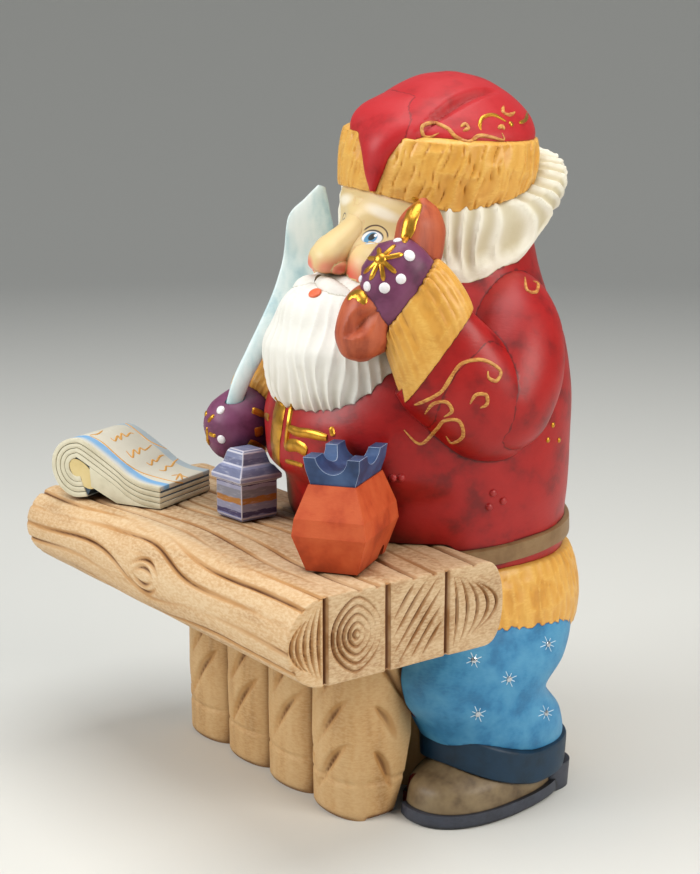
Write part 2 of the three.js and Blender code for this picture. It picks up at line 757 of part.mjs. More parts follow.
function coatForms() {
  const round = evenAngles(20);
  const coat = tower([
    [0, 2, 74, 42, 38, 38, 2.2],
    [0, 2, 84, 44.4, 41, 39.6, 2.2],
    [0, 2, 93, 45, 46, 39.2, 2.2],
    [0, 2, 102, 46.6, 47.4, 40.4, 2.1],
    [0, 2, 112, 47.2, 56, 41.2, 2.05],
    [0, 2, 123, 47, 56.6, 41.2, 2.1],
    [0, 2, 135, 46, 51, 40, 2.2],
    [0, 2, 148, 44, 42, 37.6, 2.2],
    [0, 2, 160, 39.6, 32, 33, 2.1],
    [0, 2, 171, 34.4, 25, 31, 2],
    [0, 2, 180, 29, 20, 27, 2],
    [0, 2, 188, 22, 16, 21, 2],
  ], { angles: round });
  const belt = tower([
    [0, 2, 85.4, 44, 42, 39, 2.2],
    [0, 2, 86, 46.2, 44, 41.4, 2.2],
    [0, 2, 91, 46.2, 44.6, 41, 2.2],
    [0, 2, 91.6, 44, 43, 39, 2.2],
  ], { angles: round });
  const hem = tower([
    [0, 3, 54, 43, 38, 40, 2.2],
    [0, 3, 55.4, 47, 41, 44.4, 2.2],
    [0, 3, 64, 48, 42, 45.6, 2.2],
    [0, 3, 79.6, 45, 41, 42, 2.2],
    [0, 3, 81, 42.6, 38, 39, 2.2],
  ], { angles: evenAngles(22), relief: fluted(0.4) });
  return [coat, belt, hem];
}

// The raised arm, bent hard at the elbow, with its fur cuff and mitten
function raisedArmForms() {
  const upper = limb([
    [23, 8, 167, 6, 6, 6, 2],
    [31, 6, 159.6, 12.4, 13.4, 13.4, 2],
    [36.6, 2.6, 151, 15.4, 16.4, 16.4, 2],
    [41, -2, 141, 16, 17.2, 17.2, 2],
    [43.4, -8, 131, 15.2, 16.2, 16.2, 2],
    [44.5, -12.4, 122.5, 10.5, 11, 11, 2],
    [44.5, -14, 117.8, 3, 3, 3, 2],
  ]);
  const side = new THREE.Vector3(0.809, -0.588, 0);
  const forearm = limb([
    [43, 0, 119, 3, 3, 3, 2.1],
    [43.5, -5, 123, 9.6, 10.4, 10.4, 2.1],
    [43.5, -13, 130, 12.8, 15.4, 15.4, 2.2],
    [42.5, -21.4, 139, 11.4, 16.6, 16.6, 2.3],
    [40.6, -28, 147, 9, 16, 16, 2.5],
  ], { side });
  const facing = new THREE.Vector3(-0.476, -0.655, 0.586).normalize();
  const cuff = limb([
    [39.9, -28.6, 147.2, 7.5, 14.8, 14.8, 3],
    [40.3, -29, 148.5, 9.5, 17.4, 17.4, 3],
    [36.8, -36.4, 164.9, 8, 14.4, 14.2, 3],
    [36.2, -37.2, 166, 6, 12, 11.8, 3],
  ], { angles: evenAngles(12), side, facing });
  const mitten = limb([
    [37.2, -36, 164.4, 6.5, 12.6, 12.4, 2.4],
    [35.2, -39.2, 168, 8.4, 13, 13, 2.4],
    [33, -42.4, 172.4, 8.2, 11, 11.8, 2.3],
    [31.4, -44.6, 175.4, 6.8, 7.8, 7.8, 2.2],
    [30.4, -46, 177.4, 3.2, 4.2, 4.2, 2],
  ], { side, facing });
  return [upper, forearm, cuff, mitten];
}

// The writing arm, carved against the side of the coat, with its cuff and mitten
function writingArmForms() {
  const upper = limb([
    [-24, 8, 170, 6, 6, 6, 2],
    [-32, 6, 162, 13, 14, 14, 2],
    [-37.6, 2.6, 152, 15, 16, 16, 2],
    [-41, -1, 143, 15, 15.6, 15.6, 2],
    [-43.5, -7, 136, 13.6, 14, 14, 2],
    [-44, -12, 131, 8, 8, 8, 2],
  ]);
  const forearm = limb([
    [-43, 5, 138, 6, 6, 6, 2],
    [-44, -2, 136.4, 12.4, 13.4, 13.4, 2],
    [-44.2, -13, 133, 13.4, 14.4, 14.4, 2],
    [-43.6, -24.6, 128.6, 12.6, 14.4, 14.4, 2],
    [-43.2, -29.6, 126.4, 10, 12, 12, 2],
  ]);
  const cuff = limb([
    [-43.6, -20.6, 130, 12.4, 14.4, 14.4, 2.6],
    [-43.5, -22, 129.4, 14.8, 17, 17, 2.6],
    [-42.4, -37.6, 121.2, 11.4, 12.4, 12.4, 2.6],
    [-42.2, -39, 120.4, 9, 10, 10, 2.6],
  ]);
  const mitten = limb([
    [-42.4, -36, 121.6, 8.6, 9.4, 9.4, 2.1],
    [-41.8, -41.4, 118.4, 10.4, 11.8, 11.8, 2.1],
    [-41.2, -47, 115.2, 10.8, 12.2, 12.2, 2.1],
    [-40.8, -52.4, 112, 8.6, 9.8, 9.8, 2.1],
    [-40.6, -55.8, 110, 3.4, 4, 4, 2],
  ]);
  return [upper, forearm, cuff, mitten];
}

// The handset, gripped in the raised mitten: a bell by the ear and a rounder bell by the mouth
function handsetForms() {
  return [limb([
    [31.4, -27.6, 193, 1, 1, 1, 2],
    [32.2, -28.2, 189.4, 4, 5.4, 5.4, 2.2],
    [33, -29.6, 184, 5.6, 7.8, 7.8, 2.3],
    [33.4, -31.6, 177, 5.6, 8, 8, 2.3],
    [32.4, -37, 170, 5, 5.4, 5.4, 2.2],
    [31, -42, 165.4, 6, 6.6, 6.6, 2.2],
    [30.2, -46, 160.6, 7.4, 8.6, 8.6, 2.2],
    [29.8, -47.6, 154.6, 7.8, 8.8, 8.8, 2.2],
    [29.6, -48, 149.6, 5.8, 6.8, 6.8, 2.1],
    [29.6, -47.8, 147, 1.6, 1.8, 1.8, 2],
  ], { angles: evenAngles(10) })];
}

const toeOut = THREE.MathUtils.degToRad(8);

function legForms(side) {
  const x = side * 28.6;
  const leg = tower([
    [x, 6, 14.6, 15, 20, 20, 2.2],
    [x, 5.6, 19.4, 18.8, 23.6, 24, 2.2],
    [x, 3, 28, 20.6, 25.8, 24.2, 2.2],
    [x, -2, 38, 20.8, 27.6, 22.2, 2.2],
    [x, 0, 47, 21.2, 31, 28.8, 2.2],
    [x, 1, 57, 20, 30, 31.4, 2.2],
    [x, 1, 65, 18, 26, 29, 2.2],
  ]);
  const turned = (rows, count, relief) => tower(rows, {
    angles: evenAngles(count),
    turn: side * toeOut,
    relief,
  });
  const instepRise = 8;
  const overInstep = (angle) => ({ lift: instepRise * Math.max(0, -Math.sin(angle)) ** 1.3 });
  const cuff = turned([
    [x, 5.4, 7.6, 17.4, 22.6, 23.4, 2.3],
    [x, 5.4, 8.8, 19.8, 25, 26, 2.3],
    [x, 5.4, 18.6, 20.4, 25.2, 26, 2.3],
    [x, 5.4, 20.2, 17.8, 22, 23, 2.3],
  ], 14, overInstep);
  const shoe = side * 30.4;
  const middle = -0.2;
  const soleWidth = 36;
  const soleLength = 63.6;
  const soleRound = 0.8;
  const welt = 0.2;
  const soleHalf = soleWidth / 2;
  const soleReach = soleLength / 2;
  const sole = turned([
    [shoe, middle, 0, soleHalf - soleRound, soleReach - soleRound, soleReach - soleRound, 2.3],
    [shoe, middle, 1, soleHalf, soleReach, soleReach, 2.3],
    [shoe, middle, 4.4, soleHalf - welt, soleReach - welt, soleReach - 2 * welt, 2.3],
  ], 14);
  const toHeel = 20.4;
  const heelY = middle + toHeel;
  const heelX = shoe - side * toHeel * Math.sin(toeOut);
  const heel = turned([
    [heelX, heelY, 0, 15, 6, 10.2, 3],
    [heelX, heelY, 8.8, 15.4, 6.6, 10.8, 3],
  ], 10);
  const upper = turned([
    [shoe, middle, 4, 16.6, 30, 28, 2.3],
    [shoe, middle, 10, 16, 28.4, 26, 2.3],
    [shoe, middle, 16.6, 11, 19, 20, 2.2],
  ], 14);
  return [leg, cuff, sole, heel, upper];
}

function stumpForms() {
  return [tower([
    [0, 15, 0, 27, 33, 26, 2],
    [0, 15, 22, 24.5, 32, 24, 2],
    [0, 15, 60, 23, 32, 22, 2],
  ], { angles: evenAngles(10) })];
}

// The quill lies in a slot of the writing mitten

function quillRings(grow = 0) {
  const stem = quill.stemWidth / 2;
  const blade = quill.bladeWidth / 2;
  const thick = quill.thickness / 2;
  const rows = [
    [-39, -54, 110, 0.5 * stem, thick],
    [-37.6, -52, 120, 0.8 * stem, thick],
    [-36.4, -48.8, 130.5, stem, thick],
    [-36, -43.4, 140, 1.05 * stem, 0.9 * thick],
    [-36, -36.4, 150, 1.3 * stem, 0.85 * thick],
    [-36, -27.8, 161.5, 0.74 * blade, 0.8 * thick],
    [-36, -22.4, 171.5, 0.98 * blade, 0.75 * thick],
    [-36, -21, 181, blade, 0.7 * thick],
    [-36, -18.4, 188, 0.56 * blade, 0.6 * thick],
    [-36, -16.4, 193.4, 0.16 * blade, 0.45 * thick],
  ].map(([x, y, z, across, through], i, all) => {
    const lengthen = i === 0 ? -1.4 * grow : 0;
    const beyond = i === all.length - 1 ? 1.4 * grow : 0;
    return [x, y, z + lengthen + beyond, across + grow, through + grow, through + grow, 2];
  });
  const flat = new THREE.Vector3(0.5, 0.866, 0);
  return limb(rows, { angles: evenAngles(8), side: flat });
}

function figureSolid() {
  const forms = [
    ...coatForms(),
    ...hairForms(),
    ...faceForms(),
    ...beardForms(),
    ...hatForms(),
    ...raisedArmForms(),
    ...writingArmForms(),
    ...handsetForms(),
    ...legForms(1),
    ...legForms(-1),
    ...stumpForms(),
  ];
  const whole = join(forms.map((rings) => skin(scaled(rings))));
  const far = 2 * slab.length;
  const slabRoom = box(
    new THREE.Vector3(-far, slabFront - far, slab.underside - fitGap),
    new THREE.Vector3(far, slab.rearEdge + fitGap, tableTopZ + fitGap),
  );
  const pedestalRight = pedestal.rightSide + pedestal.sideBulge + 1 + fitGap;
  const pedestalRoom = box(
    new THREE.Vector3(pedestalLeft - far, pedestalFront - far, -far),
    new THREE.Vector3(pedestalRight, pedestal.rearEdge + fitGap, slab.underside),
  );
  const quillRoom = skin(scaled(quillRings(fitGap)));
  return whole.subtract(slabRoom).subtract(pedestalRoom).subtract(quillRoom).subtract(inkBoxRoom());
}

function quillSolid() {
  return skin(scaled(quillRings())).subtract(inkBoxRoom());
}

// The parts in place

function paintedWood(color, roughness = 0.6) {
  return new THREE.MeshStandardMaterial({ color, roughness, metalness: 0 });
}

function part(name, solid, material) {
  const mesh = new THREE.Mesh(toGeometry(solid), material);
  mesh.name = name;
  return mesh;
}

function standOnTable(mesh, x, y, turn) {
  mesh.position.set(x, y, tableTopZ + fitGap);
  mesh.rotation.z = THREE.MathUtils.degToRad(turn);
  return mesh;
}

const listScroll = part('list_scroll', scrollSolid(), paintedWood(0xe8e4cc));
standOnTable(listScroll, slabLeft + scroll.fromLeft, slabFront + scroll.fromFront, scroll.turn);
const ink = part('ink_box', inkBoxSolid(), paintedWood(0x8c8aa6));
standOnTable(ink, slab.rightEnd - inkBox.fromRight, slab.rearEdge - inkBox.fromRear, inkBox.turn);
const telephone = part('telephone', phoneSolid(), paintedWood(0xc8552d));
standOnTable(telephone, slab.rightEnd - phone.fromRight, slab.rearEdge - phone.fromRear, phone.turn);

const group = new THREE.Group();
group.add(part('santa_figure', figureSolid(), paintedWood(0xb8343a, 0.55)));
group.add(part('quill', quillSolid(), paintedWood(0xa9ccd0, 0.5)));
group.add(part('table_top', tableTop(), paintedWood(0xc99a62, 0.7)));
group.add(part('table_pedestal', tablePedestal(), paintedWood(0xd9ae72, 0.7)));
group.add(listScroll);
group.add(ink);
group.add(telephone);

group.updateMatrixWorld(true);
const bounds = new THREE.Box3().setFromObject(group, true);
const middle = bounds.getCenter(new THREE.Vector3());
group.position.set(-middle.x, -middle.y, -bounds.min.z);

export default group;
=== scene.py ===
# %% [markdown]
# # A carved and painted figure at a log table
# The real object is carved from blocks of linden wood, painted with thin artist's colours, shaded
# in the hollows, touched with raised gold and varnished. This lesson mixes the finishes first,
# then makes the carved forms, and last the ornaments that sit on them.
# The frame holds the plain solids in metres; every new piece replaces the solid that it refines.

# %% The frame
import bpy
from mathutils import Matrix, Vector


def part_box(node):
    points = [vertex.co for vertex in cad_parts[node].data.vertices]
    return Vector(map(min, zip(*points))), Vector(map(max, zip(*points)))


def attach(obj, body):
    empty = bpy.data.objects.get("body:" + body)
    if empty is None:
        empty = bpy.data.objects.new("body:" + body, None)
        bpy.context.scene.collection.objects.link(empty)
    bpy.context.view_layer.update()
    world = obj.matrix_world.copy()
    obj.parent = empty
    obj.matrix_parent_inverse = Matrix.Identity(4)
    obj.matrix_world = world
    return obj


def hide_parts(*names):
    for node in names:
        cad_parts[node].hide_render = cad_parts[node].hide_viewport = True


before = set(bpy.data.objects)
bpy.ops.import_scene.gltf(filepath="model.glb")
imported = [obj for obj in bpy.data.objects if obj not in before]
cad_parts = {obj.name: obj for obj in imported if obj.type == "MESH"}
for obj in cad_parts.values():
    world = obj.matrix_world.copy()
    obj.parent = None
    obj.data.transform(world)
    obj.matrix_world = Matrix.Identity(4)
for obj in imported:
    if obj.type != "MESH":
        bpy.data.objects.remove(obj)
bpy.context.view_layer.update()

# %% [markdown]
# Lengths below are written in millimetres on the carver's drawing, whose origin is on the floor
# under the middle of the figure's body. X runs to the figure's own left, Y to its back, Z up.
# Two faces of the frame say where that drawing lies in the frame: the table top's right end and
# the pedestal's rear.

# %% The drawing's place in the frame
import math
import bpy
import numpy as np
from mathutils import Matrix, Vector
from mathutils.bvhtree import BVHTree

MM = 0.001
slab = {"length": 166.0, "depth": 77.0, "thickness": 26.0, "underside": 63.6, "rear": -18.0,
        "right": 59.0, "front_round": 13.0, "rear_round": 8.0, "left_round": 4.0}
pedestal = {"logs": 4, "log_width": 25.6, "bulge": 7.5, "depth": 24.0, "rear": -25.0,
            "foot_taper": 7.0, "right": 24.0, "side_bulge": 1.5, "cut_width": 4.2, "cut_depth": 2.0}
fit_gap = 0.3
table_top_z = slab["underside"] + slab["thickness"]
shift = np.array([
    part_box("table_top")[1][0] / MM - slab["right"],
    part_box("table_pedestal")[1][1] / MM - pedestal["rear"],
    0.0,
])
print("drawing shift in mm", shift.round(3))


def to_frame(points):
    """Points of the drawing, in millimetres, as points of the frame, in metres."""
    return (np.asarray(points, float) + shift) * MM


# %% [markdown]
# The camera comes early, because the ornaments are set out from its view: a carver pencils them on the
# wood where they look right from the front, and here they are pencilled through the camera.
# It stands 54 degrees round the object's left side and looks 11.8 degrees down.

# %% The camera
view_azimuth = math.radians(54.0)
view_elevation = math.radians(11.8)
camera_place = np.array([397.8, -320.1, 220.1])
frame_width, frame_height = 700, 874
lens_mm, sensor_mm = 65.9, 36.0
pixels_per_tangent = lens_mm / sensor_mm * frame_height

camera_data = bpy.data.cameras.new("camera")
camera_data.lens = lens_mm
camera_data.sensor_width = sensor_mm
camera = bpy.data.objects.new("camera", camera_data)
bpy.context.scene.collection.objects.link(camera)
camera.location = to_frame(camera_place)
camera.rotation_euler = (math.pi / 2 - view_elevation, 0.0, view_azimuth)
bpy.context.scene.camera = camera
print("camera", [round(value, 3) for value in camera.location])


def sight_line(across, down):
    """The direction from the camera through a point of the picture, counted from its top left."""
    turn = Matrix.Rotation(view_azimuth, 3, "Z") @ Matrix.Rotation(math.pi / 2 - view_elevation, 3, "X")
    seen = Vector(((across - frame_width / 2) / pixels_per_tangent,
                   (frame_height / 2 - down) / pixels_per_tangent, -1.0))
    return (turn @ seen).normalized()


# %% [markdown]
# A finish is a stack of thin layers: colour, a darker wash that stays in the cuts, a lighter dry
# brush on the ridges, and varnish. One small function adds a node with its settings and links,
# and one turns a hex colour into the linear values that shaders expect.

# %% Helpers for finishes
def linear(hex_colour):
    """The linear red, green, blue and alpha of an sRGB hex colour."""
    values = []
    for place in (1, 3, 5):
        channel = int(hex_colour[place:place + 2], 16) / 255
        values.append(channel / 12.92 if channel <= 0.04045 else ((channel + 0.055) / 1.055) ** 2.4)
    return (*values, 1.0)


def add(material, kind, inputs=None, **settings):
    """Adds a node. An input is a value, or the output socket that feeds it."""
    tree = material.node_tree
    made = tree.nodes.new(kind)
    for name, value in settings.items():
        setattr(made, name, value)
    for name, value in (inputs or {}).items():
        if isinstance(value, bpy.types.NodeSocket):
            tree.links.new(value, made.inputs[name])
        else:
            made.inputs[name].default_value = value
    return made


def new_finish(name, roughness, coat=0.0, metallic=0.0, ior=1.5):
    """A material with one shader, and that shader."""
    material = bpy.data.materials.new(name)
    material.use_nodes = True
    material.node_tree.nodes.clear()
    shader = add(material, "ShaderNodeBsdfPrincipled", {"Roughness": roughness, "Metallic": metallic,
                                                        "IOR": ior, "Coat Weight": coat,
                                                        "Coat Roughness": 0.35})
    add(material, "ShaderNodeOutputMaterial", {"Surface": shader.outputs["BSDF"]})
    return material, shader


def blended(material, amount, under, over):
    """under, covered by over as far as amount says. Colours may be hex or sockets."""
    layer = add(material, "ShaderNodeMix", {0: amount}, data_type="RGBA")
    for place, colour in ((6, under), (7, over)):
        if isinstance(colour, str):
            layer.inputs[place].default_value = linear(colour)
        else:
            material.node_tree.links.new(colour, layer.inputs[place])
    return layer.outputs[2]


def ramped(material, value, low, high, start=0.0, end=1.0):
    """value, running from start to end between low and high, and level outside them."""
    made = add(material, "ShaderNodeMapRange", {"Value": value, "From Min": low, "From Max": high,
                                                "To Min": start, "To Max": end},
               interpolation_type="SMOOTHSTEP")
    return made.outputs["Result"]


def mottle(material, size_mm, detail=3.0, stretch=(1.0, 1.0, 1.0), seed=0.0):
    """Noise whose blotches are about size_mm across, wider where stretch is more than 1."""
    where = add(material, "ShaderNodeTexCoord").outputs["Object"]
    scaled = add(material, "ShaderNodeMapping", {
        "Vector": where, "Location": (seed, seed, seed),
        "Scale": tuple(1 / (size_mm * MM * part) for part in stretch)})
    noise = add(material, "ShaderNodeTexNoise", {"Vector": scaled.outputs["Vector"], "Scale": 1.0,
                                                 "Detail": detail, "Roughness": 0.6})
    return noise.outputs["Fac"]


def roughened(material, shader, height, depth_mm):
    """Lets the shader feel a height that the mesh is too coarse for."""
    bump = add(material, "ShaderNodeBump", {"Height": height, "Distance": depth_mm * MM,
                                            "Strength": 0.5})
    material.node_tree.links.new(bump.outputs["Normal"], shader.inputs["Normal"])


# %% [markdown]
# All the painted wood is finished alike: a brushed colour whose strokes show a little, a wash in
# the cuts, a paler dry-brushed touch on the ridges, and painted shade in the creases. The carving
# step stores how deep each point lies as an attribute called cut, 0 at the bottom of a cut and 1 on
# a ridge, and the wash reads it. Ambient occlusion finds the creases between forms, and there the
# deep tone is painted in: partly the dark shading the real paint has there, partly painted shade.

# %% Painted linden
def painted_wood(name, colour, deep, light, roughness=0.5, coat=0.15, wash=0.75, brush=0.25,
                 blotch=0.3, crease_shade_mm=7.0, stretch=(1.0, 1.0, 1.0), decorate=None):
    """Paint in a main tone, a deep one for the wash and the painted crease shade, a light one for the dry
    brush.
    """
    # Artist's acrylic has an IOR near 1.49; a little less gives its satin look on this wood.
    material, shader = new_finish(name, roughness, coat, ior=1.42)
    cut = add(material, "ShaderNodeAttribute", attribute_name="cut").outputs["Fac"]
    patch = mottle(material, 9.0, stretch=stretch, seed=3.0)
    fine = mottle(material, 1.6, detail=4.0, stretch=(1.0, 1.0, 0.35))
    shade = decorate(material, colour) if decorate else colour
    shade = blended(material, ramped(material, patch, 0.35, 0.7, 0.0, blotch), shade, light)
    shade = blended(material, ramped(material, patch, 0.5, 0.25, 0.0, blotch), shade, deep)
    ridge = add(material, "ShaderNodeMath", {0: ramped(material, cut, 0.72, 1.0, 0.0, brush),
                                             1: ramped(material, fine, 0.35, 0.65, 0.3, 1.0)},
                operation="MULTIPLY")
    shade = blended(material, ridge.outputs["Value"], shade, light)
    shade = blended(material, ramped(material, cut, 0.6, 0.05, 0.0, wash), shade, deep)
    # Painted shade: the creases between forms darken towards the deep tone, as far as the occlusion reaches.
    crease_shade = add(material, "ShaderNodeAmbientOcclusion", {"Distance": crease_shade_mm * MM}, samples=8)
    shade = blended(material, ramped(material, crease_shade.outputs["AO"], 0.75, 0.15, 0.0, 0.85), shade, deep)
    material.node_tree.links.new(shade, shader.inputs["Base Color"])
    roughened(material, shader, fine, 0.12)
    return material


def knife_work(name, colour, deep, light, **values):
    """The same paint on flat knife work, which has no gouge cuts for a wash to settle in."""
    plain = {"roughness": 0.6, "coat": 0.0, "wash": 0.0, "brush": 0.0}
    return painted_wood(name, colour, deep, light, **{**plain, **values})


def flecked(name, colour, fleck, size_mm, roughness, **values):
    """A finish of two close colours that mingle in flecks of the given size."""
    material, shader = new_finish(name, roughness, **values)
    tone = blended(material, mottle(material, size_mm), colour, fleck)
    material.node_tree.links.new(tone, shader.inputs["Base Color"])
    return material


# The coat's painted crease shade reaches 14 mm, into the hollows under the arms and round the belly.
coat_red = painted_wood("red_paint_on_linden", "#960605", "#470201", "#AC1612", roughness=0.42, coat=0.12,
                        blotch=0.6, crease_shade_mm=14.0)
hat_red = painted_wood("red_paint_on_linden_hat", "#B0141A", "#6E0608", "#BF2A30", roughness=0.5, coat=0.08,
                       blotch=0.4)
fur_gold = painted_wood("ochre_paint_on_cut_fur", "#D2963A", "#9A6420", "#E9BD62", roughness=0.42,
                        coat=0.2, wash=0.7, brush=0.6)
hair_white = painted_wood("cream_paint_on_cut_hair", "#E4E0CE", "#B8AA80", "#F1EFE4", roughness=0.55,
                          coat=0.05, wash=0.75, brush=0.6, blotch=0.25)
beard_white = painted_wood("white_paint_on_cut_beard", "#E4E2D8", "#AAA48E", "#F2F1EA", roughness=0.55,
                           coat=0.05, wash=0.7, brush=0.6, blotch=0.2)
belt_brown = painted_wood("brown_paint_on_belt", "#7A5B36", "#46301A", "#A08660")
mitten_purple = painted_wood("purple_paint_on_mitten", "#642B4C", "#35122C", "#85486C", blotch=0.6)
handset_red = painted_wood("red_brown_paint_on_handset", "#A54828", "#6E2711", "#C7683F",
                           blotch=0.5, stretch=(0.4, 0.4, 2.0))
trouser_blue = painted_wood("blue_paint_on_trousers", "#2C7BAB", "#184F78", "#5FA3C4", blotch=0.5, coat=0.1)
cuff_blue = painted_wood("dark_blue_paint_on_cuffs", "#07283C", "#030F1A", "#0F3550", blotch=0.5, coat=0.05)
shoe_brown = painted_wood("brown_paint_on_shoes", "#6A573E", "#33271A", "#92805F", blotch=0.6)
sole_dark = painted_wood("dark_paint_on_soles", "#2B2E38", "#141519", "#4C5260")
bare_wood = painted_wood("oiled_linden", "#D5A867", "#8E5F2E", "#EBD3A3", roughness=0.6, coat=0.0,
                         stretch=(1.0, 1.0, 6.0))
print("painted finishes", len(bpy.data.materials))

# %% [markdown]
# The carved forms are lofts: closed sections strung on a path, as a carver thinks of a body as
# a pile of slices. By hand one would start from a cylinder and scale its loops one by one; here
# a flat grid from the primitive tools is rolled round the slices and its seam is welded, which
# gives each form the fine, even skin that the cuts need. Few slices are written and a smooth
# curve runs through them. A slice is x, y, z, half its width, its reach to the front and to the
# back, and how square it is: 2 is an ellipse, and more is squarer.

# %% From slices to a rolled skin
def run_through(rows, levels):
    """Many slices, evenly spread, on a curve through the few written ones that never overshoots."""
    rows = np.asarray(rows, float)
    step = np.diff(rows[:, :6], axis=0)
    length = np.sqrt((step[:, :3] ** 2).sum(1) + (step[:, 3:] ** 2).max(1)) + 1e-9
    at = np.concatenate([[0.0], np.cumsum(length)])
    slope = np.diff(rows, axis=0) / length[:, None]
    product = slope[:-1] * slope[1:]
    total = slope[:-1] + slope[1:]
    inner = np.where(product > 0, 2 * product / np.where(product > 0, total, 1), 0)
    tangent = np.vstack([slope[:1], inner, slope[-1:]])
    spread = np.linspace(0, at[-1], levels)
    place = np.clip(np.searchsorted(at, spread, side="right") - 1, 0, len(length) - 1)
    t = ((spread - at[place]) / length[place])[:, None]
    span = length[place][:, None]
    return ((1 + 2 * t) * (1 - t) ** 2 * rows[place] + t * (1 - t) ** 2 * span * tangent[place]
            + t * t * (3 - 2 * t) * rows[place + 1] + t * t * (t - 1) * span * tangent[place + 1])


def unit(vectors):
    """The same directions, one long."""
    size = np.linalg.norm(vectors, axis=-1, keepdims=True)
    return vectors / np.maximum(size, 1e-9)


def slices(rows, angles, side=None, facing=None, turn=0.0):
    """Rings of points. Level slices turn by turn; others stand square to their path or to facing."""
    centre = rows[:, :3]
    if side is None:
        across = np.tile([math.cos(turn), math.sin(turn), 0.0], (len(rows), 1))
        along = np.tile([-math.sin(turn), math.cos(turn), 0.0], (len(rows), 1))
    else:
        tangent = unit(np.gradient(centre, axis=0)) if facing is None else np.tile(facing, (len(rows), 1))
        along = unit(np.cross(tangent, side))
        across = np.cross(along, tangent)
    cosine, sine = np.cos(angles)[None, :], np.sin(angles)[None, :]
    power = 2 / rows[:, 6:7]
    reach = np.where(sine < 0, rows[:, 4:5], rows[:, 5:6])
    u = np.sign(cosine) * np.abs(cosine) ** power * rows[:, 3:4]
    v = np.sign(sine) * np.abs(sine) ** power * reach
    return centre[:, None, :] + across[:, None, :] * u[..., None] + along[:, None, :] * v[..., None]


def outward(rings):
    """The outward direction at each point of the rings."""
    around = np.roll(rings, -1, axis=1) - np.roll(rings, 1, axis=1)
    upward = np.gradient(rings, axis=0)
    return unit(np.cross(around, upward))


def rolled_skin(name, rings, finish, cut=None, sketch=None, zipped=False):
    """A closed mesh over the rings, from a grid whose seam and ends are welded.

    An end is drawn to a point, or zipped up when its last ring already lies flat on a line.
    """
    levels, columns, _ = rings.shape
    cut = np.ones((levels, columns)) if cut is None else cut
    sketch = rings if sketch is None else sketch

    def closed(values):
        ends = [np.repeat(values[row].mean(axis=0, keepdims=True), columns, axis=0)[None] for row in (0, -1)]
        whole = values if zipped else np.concatenate([ends[0], values, ends[1]])
        return np.concatenate([whole, whole[:, :1]], axis=1)

    points, depth, drawn = closed(rings), closed(cut[..., None]), closed(sketch)
    bpy.ops.object.select_all(action="DESELECT")
    spans = len(points) - 1
    bpy.ops.mesh.primitive_grid_add(x_subdivisions=columns, y_subdivisions=spans, size=2.0)
    form = bpy.context.object
    form.name = name
    mesh = form.data
    mesh.name = name
    flat = np.empty(len(mesh.vertices) * 3)
    mesh.vertices.foreach_get("co", flat)
    flat = flat.reshape(-1, 3)
    column = np.rint((flat[:, 0] + 1) / 2 * columns).astype(int)
    level = np.rint((flat[:, 1] + 1) / 2 * spans).astype(int)
    mesh.vertices.foreach_set("co", to_frame(points[level, column]).ravel())
    mesh.attributes.new("cut", "FLOAT", "POINT").data.foreach_set("value", depth[level, column, 0])
    sketched = mesh.attributes.new("sketch", "FLOAT_VECTOR", "POINT")
    sketched.data.foreach_set("vector", drawn[level, column].ravel())
    mesh.materials.append(finish)
    bpy.ops.object.mode_set(mode="EDIT")
    bpy.ops.mesh.select_all(action="SELECT")
    bpy.ops.mesh.remove_doubles(threshold=1e-6)
    bpy.ops.mesh.normals_make_consistent(inside=False)
    bpy.ops.object.mode_set(mode="OBJECT")
    return form


# %% [markdown]
# Relief is cut into that skin point by point. A gouge leaves a round-bottomed channel, a knife a
# V, and a row of gouge cuts side by side leaves rounded locks with sharp valleys between them.

# %% The cuts of gouge and knife
def row_chance(row, seed):
    """A number from 0 to 1 for each row that looks like chance, but is the same each run."""
    return np.modf(np.abs(np.sin(row * 12.9898 + seed)) * 43758.5453)[0]


def cell_chance(row, cell, seed):
    """The same for each cell of a row."""
    return np.modf(np.abs(np.sin(row * 78.233 + cell * 37.719 + seed)) * 24634.6345)[0]


def locks(angles, count, depth):
    """Rounded ridges with sharp valleys: how far in each point lies, and its cut value."""
    ridge = np.abs(np.cos(angles * count / 2))
    return -depth * (1 - ridge), ridge


def chips(u, v, width, length, depth, seed=1):
    """Short gouge cuts in rows, each row shifted against the next. u and v are in millimetres."""
    row = np.floor(u / width)
    beat = v / length + row_chance(row, seed)
    cell = np.floor(beat)
    strength = cell_chance(row, cell, seed)
    x = (u / width - row) * 2 - 1
    y = (beat - cell) * 2 - 1
    scoop = (1 - np.abs(x)) * np.sqrt(np.clip(1 - y * y, 0, 1)) * (0.35 + 0.65 * strength)
    return -depth * scoop, 1 - scoop


def scoops(angles, count, depth):
    """Hollow gouge cuts side by side, with sharp ridges between them."""
    across = np.modf(np.abs(angles) * count / (2 * math.pi))[0] * 2 - 1
    hollow = 1 - across ** 2
    return -depth * hollow, 1 - hollow


def strokes(u, v, pitch, length, depth, seed=1):
    """Thin incised knife strokes, scattered: only a share of the places has one."""
    share, width = 0.6, 0.4
    row = np.floor(u / pitch)
    beat = v / length + row_chance(row, seed)
    cell = np.floor(beat)
    line = np.clip(1 - np.abs((u / pitch - row) * 2 - 1) / width, 0, 1)
    present = cell_chance(row, cell, seed) < share
    line = line * np.sqrt(np.clip(1 - ((beat - cell) * 2 - 1) ** 2, 0, 1)) * present
    return -depth * line, 1 - line


def unevenness(points, size, seed=0.0):
    """A soft unevenness between -1 and 1, such as a knife leaves on a broad form."""
    x, y, z = (points[..., i] / size + seed * (i + 1) for i in range(3))
    return (np.sin(x + 1.7 * np.sin(0.8 * y + 0.3 * z)) + np.sin(1.1 * y - 0.9 * z + 1.3 * np.sin(0.7 * x))
            + np.sin(0.9 * z + 1.1 * x - 0.6 * y)) / 3


neck = np.array([0.0, 2.0, 165.0])
head_tilt = math.radians(6.0)
tilt_matrix = np.array(Matrix.Rotation(head_tilt, 3, "Y"))


